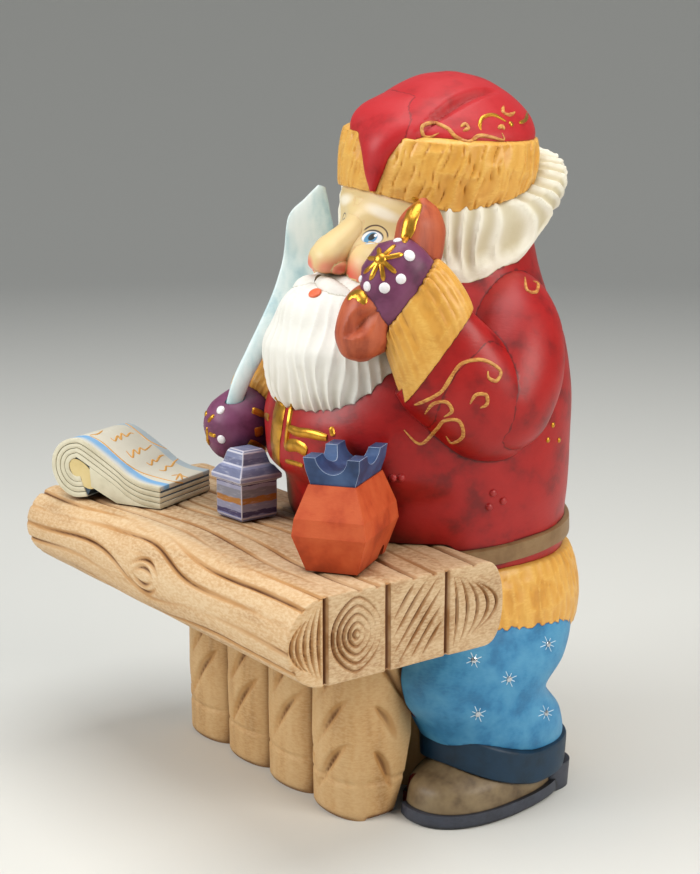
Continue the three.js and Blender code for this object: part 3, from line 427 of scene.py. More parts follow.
def carved(name, rows, finish, columns, levels, relief=None, tilt=False, angles=None, bend=None, **stance):
    """One carved form of the figure. The attribute sketch keeps its points before the head's tilt."""
    angles = np.arange(columns) / columns * 2 * math.pi if angles is None else angles
    rings = slices(run_through(rows, levels), angles, **stance)
    if bend is not None:
        rings = bend(rings, angles[None, :])
    cut = np.ones(rings.shape[:2])
    if relief is not None:
        out, cut = relief(rings, angles[None, :], np.linspace(0, 1, levels)[:, None])
        rings = rings + outward(rings) * np.broadcast_to(out, cut.shape)[..., None]
    sketch = rings
    if tilt:
        rings = (rings - neck) @ tilt_matrix.T + neck
    return rolled_skin(name, rings, finish, np.broadcast_to(cut, rings.shape[:2]), sketch)


# %% [markdown]
# A helper for the longer cuts: given the points of a form and some paths on it, it says how deep
# a V-shaped cut runs at each point. Leaf-shaped cuts swell in their middle, as a knife's do.

# %% Cuts along paths
def along_path(path, steps=10):
    """A fine line through a few points, on a smooth curve."""
    path = np.asarray(path, float)
    if len(path) == 2:
        return path[0] + (path[1] - path[0]) * np.linspace(0, 1, steps)[:, None]
    t = np.linspace(0, len(path) - 1, steps * (len(path) - 1) + 1)
    place = np.minimum(t.astype(int), len(path) - 2)
    before = path[np.maximum(place - 1, 0)]
    after = path[np.minimum(place + 2, len(path) - 1)]
    start, end = path[place], path[place + 1]
    f = (t - place)[:, None]
    return 0.5 * (2 * start + (end - before) * f + (2 * before - 5 * start + 4 * end - after) * f * f
                  + (3 * start - before - 3 * end + after) * f ** 3)


def cut_depth(points, paths, width, depth, tapered=True):
    """How deep the cuts along the paths lie at each of the points, in millimetres."""
    flat = points.reshape(-1, 3)
    deepest = np.zeros(len(flat))
    for path in paths:
        line = along_path(path)
        low, high = line.min(axis=0) - width, line.max(axis=0) + width
        near = np.flatnonzero(((flat > low) & (flat < high)).all(axis=1))
        if not len(near):
            continue
        start, run = line[:-1], np.diff(line, axis=0)
        to_point = flat[near][:, None] - start[None]
        share = np.clip((to_point * run).sum(-1) / np.maximum((run ** 2).sum(-1), 1e-9), 0, 1)
        gap = np.linalg.norm(to_point - share[..., None] * run, axis=-1)
        nearest = gap.argmin(axis=1)
        rows = np.arange(len(near))
        place = (nearest + share[rows, nearest]) / len(run)
        swell = 0.15 + 0.85 * np.sin(math.pi * place) if tapered else np.ones(len(near))
        here = depth * swell * np.clip(1 - gap[rows, nearest] / (width / 2 * swell), 0, 1)
        deepest[near] = np.maximum(deepest[near], here)
    return deepest.reshape(points.shape[:-1])


# %% [markdown]
# The body: a coat that swells over a belly, cinched by a belt above a broad fur hem. The coat is
# smooth with a knife's unevenness; the hem is covered with short strokes of a small gouge.

# %% Coat, belt and hem
def knife_worked(size=9.0, depth=0.25, seed=0.0):
    """Relief of a broad form that a knife left a little uneven."""
    def relief(points, angles, share):
        wave = unevenness(points, size, seed)
        return depth * wave, 0.85 + 0.1 * wave
    return relief


def fur(width, length, depth, seed=1, around=1.0, slant=0.0, pitch=1.7):
    """Fur: broad chips under thin strokes; around is the radius that turns an angle into a length."""
    def relief(points, angles, share):
        height = points[..., 2]
        u = angles * around + slant * height + 0.35 * np.sin(height * 0.5 + angles * 9)
        out, tone = chips(u, height, width, length, depth, seed)
        thin_out, thin_tone = strokes(u, height, pitch, length * 0.6, depth * 0.6, seed + 5)
        edge = np.clip(np.minimum(share, 1 - share) * 7, 0, 1)
        both = (0.45 + 0.55 * tone) * (0.4 + 0.6 * thin_tone)
        return (out + thin_out) * edge, np.clip(1 - edge * (1 - both), 0, 1)
    return relief


forms = []
coat_rows = [
    (0, 2, 74, 42, 38, 38, 2.2), (0, 2, 84, 44.4, 41, 39.6, 2.2), (0, 2, 93, 45, 46, 39.2, 2.2),
    (0, 2, 102, 46.6, 47.4, 40.4, 2.1), (0, 2, 112, 47.2, 56, 41.2, 2.05),
    (0, 2, 123, 47, 56.6, 41.2, 2.1), (0, 2, 135, 46, 51, 40, 2.2), (0, 2, 148, 44, 42, 37.6, 2.2),
    (0, 2, 160, 39.6, 32, 33, 2.1), (0, 2, 171, 34.4, 25, 32, 2), (0, 2, 180, 31, 20, 31, 2),
    (0, 2, 187, 28, 16, 29, 2), (0, 2, 191, 20, 12, 22, 2),
]
forms.append(carved("coat", coat_rows, coat_red, 150, 80, knife_worked()))
belt_rows = [
    (0, 2, 85.4, 44, 42, 39, 2.2), (0, 2, 86, 46.2, 44, 41.4, 2.2),
    (0, 2, 91, 46.2, 44.6, 41, 2.2), (0, 2, 91.6, 44, 43, 39, 2.2),
]


def belt_slant(rings, angles):
    """The belt hangs lower at the front, under the table."""
    hung = rings.copy()
    hung[..., 2] += 0.075 * (rings[..., 1] - 36)
    return hung


forms.append(carved("belt", belt_rows, belt_brown, 120, 14, knife_worked(4.0, 0.15), bend=belt_slant))
hem_rows = [
    (0, 3, 54, 43, 38, 40, 2.2), (0, 3, 55.4, 47, 41, 44.4, 2.2), (0, 3, 64, 48, 42, 45.6, 2.2),
    (0, 3, 79.6, 45, 41, 42, 2.2), (0, 3, 81, 42.6, 38, 39, 2.2),
]
forms.append(carved("hem", hem_rows, fur_gold, 320, 44, fur(4.0, 9.0, 0.6, around=46, slant=0.12)))
print("body forms", [(form.name, len(form.data.vertices)) for form in forms])

# %% [markdown]
# The head: hair in long gouged locks, a face left smooth, and a fur hat whose crown folds forward
# into a tongue. The head leans towards the raised hand, so each form is carved upright and then
# tilted about the neck.

# %% Hair
hair_rows = [
    (0, 5, 163, 26, 22, 27, 2.4), (0, 5, 164.5, 31, 26.6, 32, 2.6), (0, 5, 176, 32.6, 29, 33.4, 2.8),
    (0, 5, 190, 33.4, 30, 34, 2.8), (0, 5, 202, 32.4, 30, 33.2, 2.8), (0, 5, 208, 28.5, 26, 28, 2.6),
]
rim_course = np.array([(-1, -1), (-0.42, 3), (0, 11.5), (0.17, 17), (0.42, 24), (0.82, 30), (1, 31.5)])


def rim_rise(rings, angles):
    """The hair's rim rests on the shoulders and rises behind to the hat, whose band covers its top."""
    low, high = hair_rows[0][2], hair_rows[-1][2]
    at_rim = np.interp(np.sin(angles), rim_course[:, 0], rim_course[:, 1])
    under_band = 12 * (1 - np.clip((np.sin(angles) + 0.3) / 1.25, 0, 1) ** 2)
    lifted = rings.copy()
    lifted[..., 2] += (at_rim * (high - rings[..., 2]) - under_band * (rings[..., 2] - low)) / (high - low)
    return lifted


def hair_relief(points, angles, share):
    """Long hollow cuts that fan out to the rim, which is plain towards the shoulders."""
    fanned = 0.5 * (1 - share) * np.cos(angles) * np.clip(np.sin(angles) + 0.3, 0, 1.3)
    swing = angles - fanned + 0.03 * np.sin(7 * share + 5 * angles) + 2 * math.pi
    out, ridge = scoops(swing, 38, 1.3)
    plain = 0.22 - 0.19 * np.sin(angles) + 0.04 * np.sin(19 * angles)
    fade = np.sqrt(np.clip((share - plain) / 0.14, 0, 1))
    step, tone = chips(swing * 30, points[..., 2], 5.2, 17.0, 0.4, seed=4)
    full = 2.6 * np.exp(-((np.sin(angles) + 0.3) / 0.4) ** 2 - ((share - 0.16) / 0.2) ** 2)
    return fade * out + step + full, np.clip(1 - fade * (1 - ridge) * 0.8 - 0.25 * (1 - tone), 0, 1)


forms.append(carved("hair", hair_rows, hair_white, 304, 46, hair_relief, tilt=True, bend=rim_rise))
print("hair", len(forms[-1].data.vertices))

# %% [markdown]
# The face is small and doll-like: eye sockets pressed in, a ball of a nose, round cheeks. It could
# be sculpted, but a formula on slices is exact and repeatable. The eyes are painted on it.

# %% Face, nose and cheeks
face_angles = np.concatenate([np.linspace(math.pi, 2 * math.pi, 111), np.linspace(0, math.pi, 15)[1:-1]])


def oval(material, place, half, turn_degrees=0.0, soft=0.12, ring=None):
    """1 inside an oval on the upright face, x to its left and z up, or on its upper edge with ring."""
    any_depth = 1000.0
    drawn = add(material, "ShaderNodeAttribute", attribute_name="sketch").outputs["Vector"]
    centred = add(material, "ShaderNodeMapping", {
        "Vector": drawn, "Location": (place[0], 0, place[1]), "Rotation": (0, math.radians(turn_degrees), 0),
        "Scale": (half[0], any_depth, half[1])}, vector_type="TEXTURE").outputs["Vector"]
    reach = add(material, "ShaderNodeVectorMath", {0: centred}, operation="LENGTH").outputs["Value"]
    if ring is None:
        return ramped(material, reach, 1 - soft, 1 + soft, 1.0, 0.0)
    off = add(material, "ShaderNodeMath", {0: reach, 1: 1.0}, operation="SUBTRACT").outputs["Value"]
    off = add(material, "ShaderNodeMath", {0: off}, operation="ABSOLUTE").outputs["Value"]
    line = ramped(material, off, ring * 0.6, ring, 1.0, 0.0)
    height = add(material, "ShaderNodeSeparateXYZ", {"Vector": centred}).outputs["Z"]
    upper = ramped(material, height, 0.05, 0.4, 0.0, 1.0)
    return add(material, "ShaderNodeMath", {0: line, 1: upper}, operation="MULTIPLY").outputs["Value"]


eyes = {"near": (8.3, 181.3), "far": (-7.6, 182.4)}


def painted_features(material, colour):
    """Cheeks, nose, brows and eyes, laid on the skin in the order of the brush; brow and eye get painted
    highlights.
    """
    marks = []
    for side in (-1, 1):
        marks += [
            ((side * 8.0, 167.6), (6.4, 6.6), 0, {"soft": 0.6}, "#E06450"),
            ((side * 4.8, 172.0), (1.5, 1.5), 0, {"soft": 0.7}, "#E09070"),
        ]
    marks.append(((-1.9, 171.8), (2.0, 2.4), 0, {"soft": 0.6}, "#E4806C"))
    for side, (x, z) in zip((1, -1), eyes.values()):
        marks += [
            # A pale stroke over the brow: a painted highlight.
            ((x + side * 1.6, z + 7.6), (5.0, 1.6), side * 12, {"soft": 0.6}, "#F2E8D0"),
            ((x + side * 0.3, z + 0.5), (3.5, 3.1), side * 10, {"ring": 0.09}, "#5A4436"),
            ((x, z + 0.25), (2.85, 2.0), side * 10, {"soft": 0.08}, "#2E2A2C"),
            ((x, z), (2.65, 1.75), side * 10, {"soft": 0.08}, "#EDEFEF"),
            ((x - 0.3, z - 0.1), (1.5, 1.65), 0, {"soft": 0.1}, "#4E93BE"),
            ((x - 0.2, z + 0.2), (0.85, 1.05), 0, {"soft": 0.12}, "#10161C"),
            # A white dot beside the pupil: a painted glint.
            ((x + 0.5, z + 0.7), (0.4, 0.45), 0, {"soft": 0.2}, "#FFFFFF"),
        ]
    for place, half, turn, edge, tone in marks:
        colour = blended(material, oval(material, place, half, turn, **edge), colour, tone)
    return colour


skin_paint = painted_wood("flesh_paint_on_face", "#DDC48C", "#C2925A", "#EBD9AE", roughness=0.42, coat=0.15,
                          brush=0.0, wash=0.3, blotch=0.06, crease_shade_mm=3.0, decorate=painted_features)


def face_relief(points, angles, share):
    """The eye sockets lie in, the eyeballs, the nose's root and the cheeks stand out."""
    x, z = points[..., 0], points[..., 2]
    front = (points[..., 1] < 0) * 1.0

    def swelling(middle_x, middle_z, half_x, half_z):
        return np.exp(-((x - middle_x) / half_x) ** 2 - ((z - middle_z) / half_z) ** 2)

    sockets = sum(swelling(*eye, 5.0, 4.0) for eye in eyes.values())
    balls = sum(swelling(*eye, 3.6, 2.4) for eye in eyes.values())
    low = np.clip((193 - z) / 18, 0, 1)
    nose_root = (1.2 + 6.5 * low) * np.exp(-(x / (5.5 + 2.5 * low)) ** 2) * np.clip((195 - z) / 7, 0, 1)
    cheeks = sum(3.6 * swelling(side * 9.5, 171, 8.5, 8.5) for side in (-1, 1))
    full = nose_root + cheeks + 0.8 * balls - 1.1 * sockets
    return front * full + 0.1 * unevenness(points, 7.0), np.ones_like(x)


head_rows = [
    (0, 0, 158, 21, 27, 12, 2.2), (0, 0, 167, 24, 29.6, 12, 2.2), (0, 0, 175, 24.8, 29.8, 12, 2.2),
    (0, 0, 182, 24.4, 28.4, 12, 2.6), (0, 0, 190, 25, 29, 12, 2.6), (0, 0, 196, 24, 28, 12, 2.4),
]
forms.append(carved("face", head_rows, skin_paint, 0, 60, face_relief, tilt=True, angles=face_angles))
nose_rows = [
    (0, -27, 191, 4.2, 3, 3, 2), (0, -29.2, 185.6, 4.4, 3.2, 3.2, 2), (0, -32.6, 181, 5, 4.2, 4.2, 2),
    (0, -37, 177, 5.8, 5.2, 5.2, 2), (0, -40.4, 173.8, 6.4, 5.4, 5.4, 2), (0, -42, 171, 5.4, 3.8, 3.8, 2),
    (0, -42.2, 169.8, 2.2, 1.4, 1.4, 2),
]
along_x = np.array([1.0, 0.0, 0.0])
forms.append(carved("nose", nose_rows, skin_paint, 56, 44, tilt=True, side=along_x))


def ball_rows(x, y, z, half_x, half_y, half_z):
    """Slices of an ellipsoid, all but its very poles."""
    steps = 9
    return [(x, y, z + half_z * math.sin(lift), half_x * math.cos(lift), half_y * math.cos(lift),
             half_y * math.cos(lift), 2)
            for lift in (math.pi * (-0.5 + (i + 0.25) / (steps - 0.5)) for i in range(steps))]


for side in (-1, 1):
    cheek_rows = ball_rows(side * 9, -30.6, 171.5, 8.4, 7.6, 8.4)
    nostril_rows = ball_rows(side * 4.7, -39.2, 172.2, 2.5, 3.6, 2.4)
    forms.append(carved(f"cheek_{side}", cheek_rows, skin_paint, 56, 34, tilt=True))
    forms.append(carved(f"nostril_{side}", nostril_rows, skin_paint, 32, 18, tilt=True))
print("face and its parts", [form.name for form in forms[-6:]])

# %% [markdown]
# Beard and moustache: the beard is one broad fan of locks that a gouge opened from chin to tip.

# %% Beard, sideburns and moustache
def beard_relief(points, angles, share):
    """Hollow cuts that die away upwards, and a fullness round the mouth."""
    swing = angles + 0.035 * np.sin(points[..., 2] / 5.0 + 7 * angles)
    out, ridge = scoops(swing, 46, 0.75)
    step, tone = chips(angles * 27, points[..., 2], 6.5, 12.0, 0.45, seed=8)
    fade = np.clip(1.35 - share * 1.5, 0.1, 1) * np.clip(share / 0.1, 0.15, 1)
    full = 3.4 * np.exp(-((points[..., 2] - 160.5) / 5.5) ** 2 - (points[..., 0] / 15) ** 2)
    full = full * (points[..., 1] < -25)
    return fade * (out + step) + full, np.clip(1 - fade * (1 - ridge * (0.6 + 0.4 * tone)) * 0.8, 0, 1)


beard_rows = [
    (0, -25, 125.8, 17, 19, 6, 2.2), (0, -25, 128.6, 25, 28, 8, 2.3), (0, -25, 135, 28.4, 31, 10, 2.3),
    (0, -25, 146, 29.6, 32, 12, 2.3), (0, -25, 156, 27, 27.4, 12, 2.1), (0, -25, 164, 21.6, 20.6, 12, 2),
    (0, -25, 169, 15, 14.6, 10, 2),
]
beard_angles = np.concatenate([np.linspace(math.pi, 2 * math.pi, 221), np.linspace(0, math.pi, 22)[1:-1]])
forms.append(carved("beard", beard_rows, beard_white, 0, 64, beard_relief, angles=beard_angles))


def lock_relief(count, depth):
    """Locks that wind a little and run out at both ends."""
    def relief(points, angles, share):
        out, ridge = locks(angles + 0.5 * share, count, depth)
        return out * np.sin(math.pi * np.clip(share, 0.02, 0.98)), ridge
    return relief


along_y = np.array([0.0, 1.0, 0.0])
for side in (-1, 1):
    sideburn_rows = [
        (side * 24, -9, 184, 3, 5, 5, 2), (side * 24.4, -12, 174, 4, 7.6, 7.6, 2),
        (side * 23, -17.6, 163, 5, 9, 9, 2), (side * 21, -23.6, 151, 4.6, 8.6, 8.6, 2),
    ]
    forms.append(carved(f"sideburn_{side}", sideburn_rows, beard_white, 60, 30, lock_relief(12, 0.6),
                        side=along_x))
    moustache_rows = [
        (side * 0.5, -41.6, 166, 3, 3.2, 3.2, 2), (side * 6, -42.8, 164.4, 3.6, 4, 4, 2),
        (side * 13, -40, 160.8, 3.4, 4, 4, 2), (side * 19.4, -34.6, 155.6, 1.4, 2.2, 2.2, 2),
    ]
    forms.append(carved(f"moustache_{side}", moustache_rows, beard_white, 56, 36, knife_worked(6.0, 0.15),
                        side=along_y))
print("beard and locks", [form.name for form in forms[-5:]])

# %% [markdown]
# The hat: a padded crown, a fold that runs over its top and ends in a tongue on the forehead, and
# a fur band that is broadest at the temples. The seam is one long gouge cut.

# %% Hat
def band_drop(rings, angles):
    """The band's lower edge hangs at the temples, and rises over the brow and more behind."""
    back = np.sin(angles) + 0.5
    rise = np.where(back > 0, 9 * (np.abs(back) / 1.3) ** 1.2, -7 * back)
    share = np.clip((rings[..., 2] - 190.4) / 22.0, 0, 1)
    lifted = rings.copy()
    lifted[..., 2] += (1 - share) * rise
    lifted[..., :2] *= 1 + 0.03 * np.abs(np.cos(angles))[..., None]
    return lifted


crown_rows = [
    (0, 0.5, 204, 28, 28, 28, 2), (0, 1, 212.5, 28.8, 28.4, 28.8, 2), (0, 2, 217, 26.4, 25.8, 27, 2),
    (0, 2.6, 221.6, 21.6, 21, 22.6, 2), (0, 2.8, 225.6, 15.8, 15.4, 16.4, 2),
    (0, 2.8, 228.6, 9.2, 9, 9.6, 2), (0, 2.8, 230, 2, 2, 2, 2),
]
seam = [(15.0, 9.0, 225.0), (16.4, 3.0, 225.2), (17.2, -5.0, 223.2), (18.0, -14.0, 219.0),
        (18.0, -21.0, 214.0)]
seam_width, seam_depth = 5.5, 1.4


def hat_skin(points, angles, share):
    """Soft and uneven, as padded felt is."""
    return 0.25 * unevenness(points, 8.0, 2.0), np.full(points.shape[:2], 0.85)


def crown_relief(points, angles, share):
    """The crown lies lower outside the seam, which one long gouge cut opened."""
    out, tone = hat_skin(points, angles, share)
    x, y = points[..., 0], points[..., 1]
    seam_x, seam_y, _ = np.array(seam[::-1]).T
    inside = np.interp(y, seam_y, seam_x) - x
    present = np.clip((9 - y) / 9, 0, 1) * np.clip((y + 30) / 6, 0, 1) * (points[..., 2] > 205)
    present = present * np.clip((228 - points[..., 2]) / 6, 0, 1)
    step = 1.7 * np.clip(inside / 1.4, 0, 1) * np.exp(-(np.maximum(inside, 0) / 15) ** 2)
    groove = cut_depth(points, [seam], seam_width, seam_depth)
    return out + present * step - groove, tone - 0.6 * np.clip(groove / seam_depth, 0, 1)


forms.append(carved("crown", crown_rows, hat_red, 170, 68, crown_relief, tilt=True))
tail_rows = [
    (4, 6, 212, 6, 6, 6, 2.2), (0, 0, 216, 14, 7.6, 7.6, 2.4), (0, -8, 216.4, 16.6, 8.6, 8.6, 2.6),
    (1, -16, 214.2, 16.6, 9, 9, 2.5), (5, -24.4, 211.4, 11.6, 6, 6, 2.2), (6.6, -29, 206.4, 6, 4, 4, 2),
    (7, -30, 200, 3.2, 2.6, 2.6, 2), (7.4, -30.4, 195, 0.8, 1, 1, 2),
]
forms.append(carved("hat_fold", tail_rows, hat_red, 100, 56, hat_skin, tilt=True, side=along_x))
band_rows = [
    (0, 0, 190.4, 27, 27, 27, 2), (0, 0, 191.4, 30.2, 30.2, 30.2, 2), (0, 0, 201, 30.9, 30.9, 30.9, 2),
    (0, 0, 211, 29.8, 29.8, 29.8, 2), (0, 0, 212.4, 27.4, 27.4, 27.4, 2),
]
band_fur = fur(6.2, 10.0, 1.0, seed=3, around=30, slant=-0.25, pitch=2.1)
forms.append(carved("hat_band", band_rows, fur_gold, 340, 44, band_fur, tilt=True, bend=band_drop))
print("head forms", len(forms))

# %% [markdown]
# The arms. The figure's left arm is bent hard and holds the handset by the ear; the right one lies
# along the coat and holds the quill. Each has an upper arm, a forearm, a fur cuff and a mitten.

# %% Arms, cuffs and mittens
cuff_side = np.array([0.809, -0.588, 0.0])
cuff_facing = unit(np.array([-0.476, -0.655, 0.586]))
raised_upper_rows = [
    (23, 8, 167, 6, 6, 6, 2), (31, 6, 159.6, 12.4, 13.4, 13.4, 2), (36.6, 2.6, 151, 15.4, 16.4, 16.4, 2),
    (41, -2, 141, 16, 17.2, 17.2, 2), (43.4, -8, 131, 15.2, 16.2, 16.2, 2),
    (44.5, -12.4, 122.5, 10.5, 11, 11, 2), (44.5, -14, 117.8, 3, 3, 3, 2),
]
raised_forearm_rows = [
    (43, 0, 119, 3, 3, 3, 2.1), (43.5, -5, 123, 9.6, 10.4, 10.4, 2.1),
    (43.5, -13, 130, 12.8, 15.4, 15.4, 2.2), (42.5, -21.4, 139, 11.4, 16.6, 16.6, 2.3),
    (40.6, -28, 147, 9, 16, 16, 2.5),
]
raised_cuff_rows = [
    (39.9, -28.6, 147.2, 7.5, 14.8, 14.8, 3), (40.3, -29, 148.5, 9.5, 17.4, 17.4, 3),
    (36.8, -36.4, 164.9, 8, 14.4, 14.2, 3), (36.2, -37.2, 166, 6, 12, 11.8, 3),
]
raised_mitten_rows = [
    (37.2, -36, 164.4, 6.5, 12.6, 12.4, 2.4), (35.2, -39.2, 168, 8.4, 13, 13, 2.4),
    (33, -42.4, 172.4, 8.2, 11, 11.8, 2.3), (31.4, -44.6, 175.4, 6.8, 7.8, 7.8, 2.2),
    (30.4, -46, 177.4, 3.2, 4.2, 4.2, 2),
]
sleeve_end_rows = [
    (44.4, -12.6, 131, 8, 13, 13, 2.2), (43.6, -17.6, 136.6, 10.6, 16.4, 16.4, 2.3),
    (41.8, -24, 142.4, 10.4, 17.2, 17.2, 2.6), (40, -28.4, 147, 9.2, 17, 17, 3),
    (38.9, -30.8, 150.6, 8.6, 16.6, 16.6, 3),
]
writing_upper_rows = [
    (-24, 8, 170, 6, 6, 6, 2), (-32, 6, 162, 13, 14, 14, 2), (-37.6, 2.6, 152, 15, 16, 16, 2),
    (-41, -1, 143, 15, 15.6, 15.6, 2), (-43.5, -7, 136, 13.6, 14, 14, 2), (-44, -12, 131, 8, 8, 8, 2),
]
writing_forearm_rows = [
    (-43, 5, 138, 6, 6, 6, 2), (-44, -2, 136.4, 12.4, 13.4, 13.4, 2), (-44.2, -13, 133, 13.4, 14.4, 14.4, 2),
    (-43.6, -24.6, 128.6, 12.6, 14.4, 14.4, 2), (-43.2, -29.6, 126.4, 10, 12, 12, 2),
]
writing_cuff_rows = [
    (-43.6, -20.6, 130, 12.4, 14.4, 14.4, 2.6), (-43.5, -22, 129.4, 14.8, 17, 17, 2.6),
    (-42.4, -37.6, 121.2, 11.4, 12.4, 12.4, 2.6), (-42.2, -39, 120.4, 9, 10, 10, 2.6),
]
writing_mitten_rows = [
    (-42.4, -36, 121.6, 8.6, 9.4, 9.4, 2.1), (-41.8, -41.4, 118.4, 10.4, 11.8, 11.8, 2.1),
    (-41.2, -47, 115.2, 10.8, 12.2, 12.2, 2.1), (-40.8, -52.4, 112, 8.6, 9.8, 9.8, 2.1),
    (-40.6, -55.8, 110, 3.4, 4, 4, 2),
]


def cuff_fur(length, seed):
    """Strokes along the cuff, whose own length is given; in places the gilder smoothed them over."""
    def relief(points, angles, share):
        out, tone = chips(angles * 13, share * length, 2.6, 8.0, 0.7, seed)
        fine, fine_tone = chips(angles * 13, share * length, 1.0, 6.0, 0.3, seed + 2)
        kept = np.clip(0.6 + 0.8 * unevenness(points, 9.0, seed), 0.2, 1)
        return kept * (out + fine), 1 - kept * (1 - np.clip(tone * (0.55 + 0.45 * fine_tone), 0, 1))
    return relief


level, upright = {"side": along_x}, {"side": cuff_side}
aimed = {"side": cuff_side, "facing": cuff_facing}
arm_forms = [
    ("raised_upper_arm", raised_upper_rows, coat_red, 64, 40, knife_worked(8.0, 0.2, 1.0), level),
    ("raised_forearm", raised_forearm_rows, coat_red, 64, 32, knife_worked(8.0, 0.2, 3.0), upright),
    ("sleeve_end", sleeve_end_rows, coat_red, 64, 28, knife_worked(8.0, 0.2, 4.0), aimed),
    ("raised_cuff", raised_cuff_rows, fur_gold, 150, 44, cuff_fur(32.0, 6), aimed),
    ("raised_mitten", raised_mitten_rows, mitten_purple, 64, 36, knife_worked(5.0, 0.15, 1.0), aimed),
    ("writing_upper_arm", writing_upper_rows, coat_red, 64, 36, knife_worked(8.0, 0.2, 6.0), level),
    ("writing_forearm", writing_forearm_rows, coat_red, 64, 28, knife_worked(8.0, 0.2, 7.0), level),
    ("writing_cuff", writing_cuff_rows, fur_gold, 150, 40, cuff_fur(30.0, 9), level),
    ("writing_mitten", writing_mitten_rows, mitten_purple, 64, 36, knife_worked(5.0, 0.15, 4.0), level),
]
for name, rows, finish, columns, levels, relief, stance in arm_forms:
    forms.append(carved(name, rows, finish, columns, levels, relief, **stance))
print("arms", [form.name for form in forms[-len(arm_forms):]])

# %% [markdown]
# The handset is carved with the mitten that holds it: a rounded cup, a waist, a cup that curls.

# %% Handset
handset_rows = [
    (31.4, -27.6, 193, 1, 1, 1, 2), (32.2, -28.2, 189.4, 4, 5.4, 5.4, 2.2),
    (33, -29.6, 184, 5.6, 7.8, 7.8, 2.3), (33.4, -31.6, 177, 5.6, 8, 8, 2.3),
    (32.4, -37, 170, 5, 5.4, 5.4, 2.2), (31, -42, 165.4, 6, 6.6, 6.6, 2.2),
    (30.2, -46, 160.6, 7.4, 8.6, 8.6, 2.2), (29.8, -47.6, 154.6, 7.8, 8.8, 8.8, 2.2),
    (29.6, -48, 149.6, 5.8, 6.8, 6.8, 2.1), (29.6, -47.8, 147, 1.6, 1.8, 1.8, 2),
]
curl = [(31.4, -56.2, 154.8), (33.8, -54.9, 157.0), (35.3, -53.2, 158.8), (36.4, -51.2, 160.5),
        (37.0, -48.6, 162.4)]
curl_width, curl_depth = 7.5, 3.6


def handset_skin(points, angles, share):
    """Shaved smooth, with one V cut where the mouthpiece curls back to the handle."""
    out, tone = knife_worked(4.0, 0.12, 2.0)(points, angles, share)
    cut = cut_depth(points, [curl], curl_width, curl_depth)
    return out - cut, tone - 0.5 * np.clip(cut / 3, 0, 1)


forms.append(carved("handset", handset_rows, handset_red, 72, 84, handset_skin, side=along_x))
print("handset", len(forms[-1].data.vertices))

# %% [markdown]
# Legs and shoes: short trousers that bulge under the hem, dark turned-up cuffs, and shoes with
# thick soles, the toes turned out a little. The stump behind the legs is bare wood.

# %% Legs, shoes and stump
toe_out = math.radians(8.0)
to_heel = 20.4
sole_width, sole_length, sole_round, welt = 36.0, 63.6, 0.8, 0.2


def over_instep(rings, angles):
    """The turned-up cuff lies on the shoe's instep, so it rises to the front."""
    lifted = rings.copy()
    lifted[..., 2] += 8.0 * np.maximum(0, -np.sin(angles)) ** 1.3
    return lifted


for side in (-1, 1):
    x = side * 28.6
    shoe, middle = side * 30.4, -0.2
    heel_x, heel_y = shoe - side * to_heel * math.sin(toe_out), middle + to_heel
    half_sole, sole_reach = sole_width / 2, sole_length / 2
    leg_rows = [
        (x, 6, 14.6, 15, 20, 20, 2.2), (x, 5.6, 19.4, 18.8, 23.6, 24, 2.2), (x, 3, 28, 20.6, 25.8, 24.2, 2.2),
        (x, -2, 38, 20.8, 27.6, 22.2, 2.2), (x, 0, 47, 21.2, 31, 28.8, 2.2), (x, 1, 57, 20, 30, 31.4, 2.2),
        (x, 1, 65, 18, 26, 29, 2.2),
    ]
    cuff_rows = [
        (x, 5.4, 7.6, 17.4, 22.6, 23.4, 2.3), (x, 5.4, 8.8, 19.8, 25, 26, 2.3),
        (x, 5.4, 18.6, 20.4, 25.2, 26, 2.3), (x, 5.4, 20.2, 17.8, 22, 23, 2.3),
    ]
    sole_rows = [
        (shoe, middle, 0, half_sole - sole_round, sole_reach - sole_round, sole_reach - sole_round, 2.3),
        (shoe, middle, 1, half_sole, sole_reach, sole_reach, 2.3),
        (shoe, middle, 4.4, half_sole - welt, sole_reach - welt, sole_reach - 2 * welt, 2.3),
    ]
    heel_rows = [
        (heel_x, heel_y, 0, 15, 6, 10.2, 3), (heel_x, heel_y, 8.8, 15.4, 6.6, 10.8, 3),
    ]
    upper_rows = [
        (shoe, middle, 4, 16.6, 30, 28, 2.3), (shoe, middle, 10, 16, 28.4, 26, 2.3),
        (shoe, middle, 16.6, 11, 19, 20, 2.2),
    ]
    turned = {"turn": side * toe_out}
    forms.append(carved(f"leg_{side}", leg_rows, trouser_blue, 90, 50, knife_worked(8.0, 0.25, 3.0)))
    forms.append(carved(f"trouser_cuff_{side}", cuff_rows, cuff_blue, 80, 18, knife_worked(5.0, 0.2, 2.0),
                        bend=over_instep, **turned))
    forms.append(carved(f"sole_{side}", sole_rows, sole_dark, 80, 10, **turned))
    forms.append(carved(f"heel_{side}", heel_rows, sole_dark, 64, 10, **turned))
    forms.append(carved(f"shoe_{side}", upper_rows, shoe_brown, 80, 20, knife_worked(6.0, 0.2, 4.0),
                        **turned))
stump_rows = [(0, 15, 0, 27, 33, 26, 2), (0, 15, 22, 24.5, 32, 24, 2), (0, 15, 60, 23, 32, 22, 2)]
forms.append(carved("stump", stump_rows, bare_wood, 60, 20, fur(5.0, 30.0, 0.5, seed=2, around=25)))
print("forms", len(forms), "triangles", sum(2 * len(form.data.polygons) for form in forms))

# %% [markdown]
# A real figure is one block, so the forms are joined into one skin with the Boolean modifier, and
# room is cut for the table, the quill and the ink box, each with the fit gap round it.

# %% One block
def select_only(piece):
    bpy.ops.object.select_all(action="DESELECT")
    piece.select_set(True)
    bpy.context.view_layer.objects.active = piece


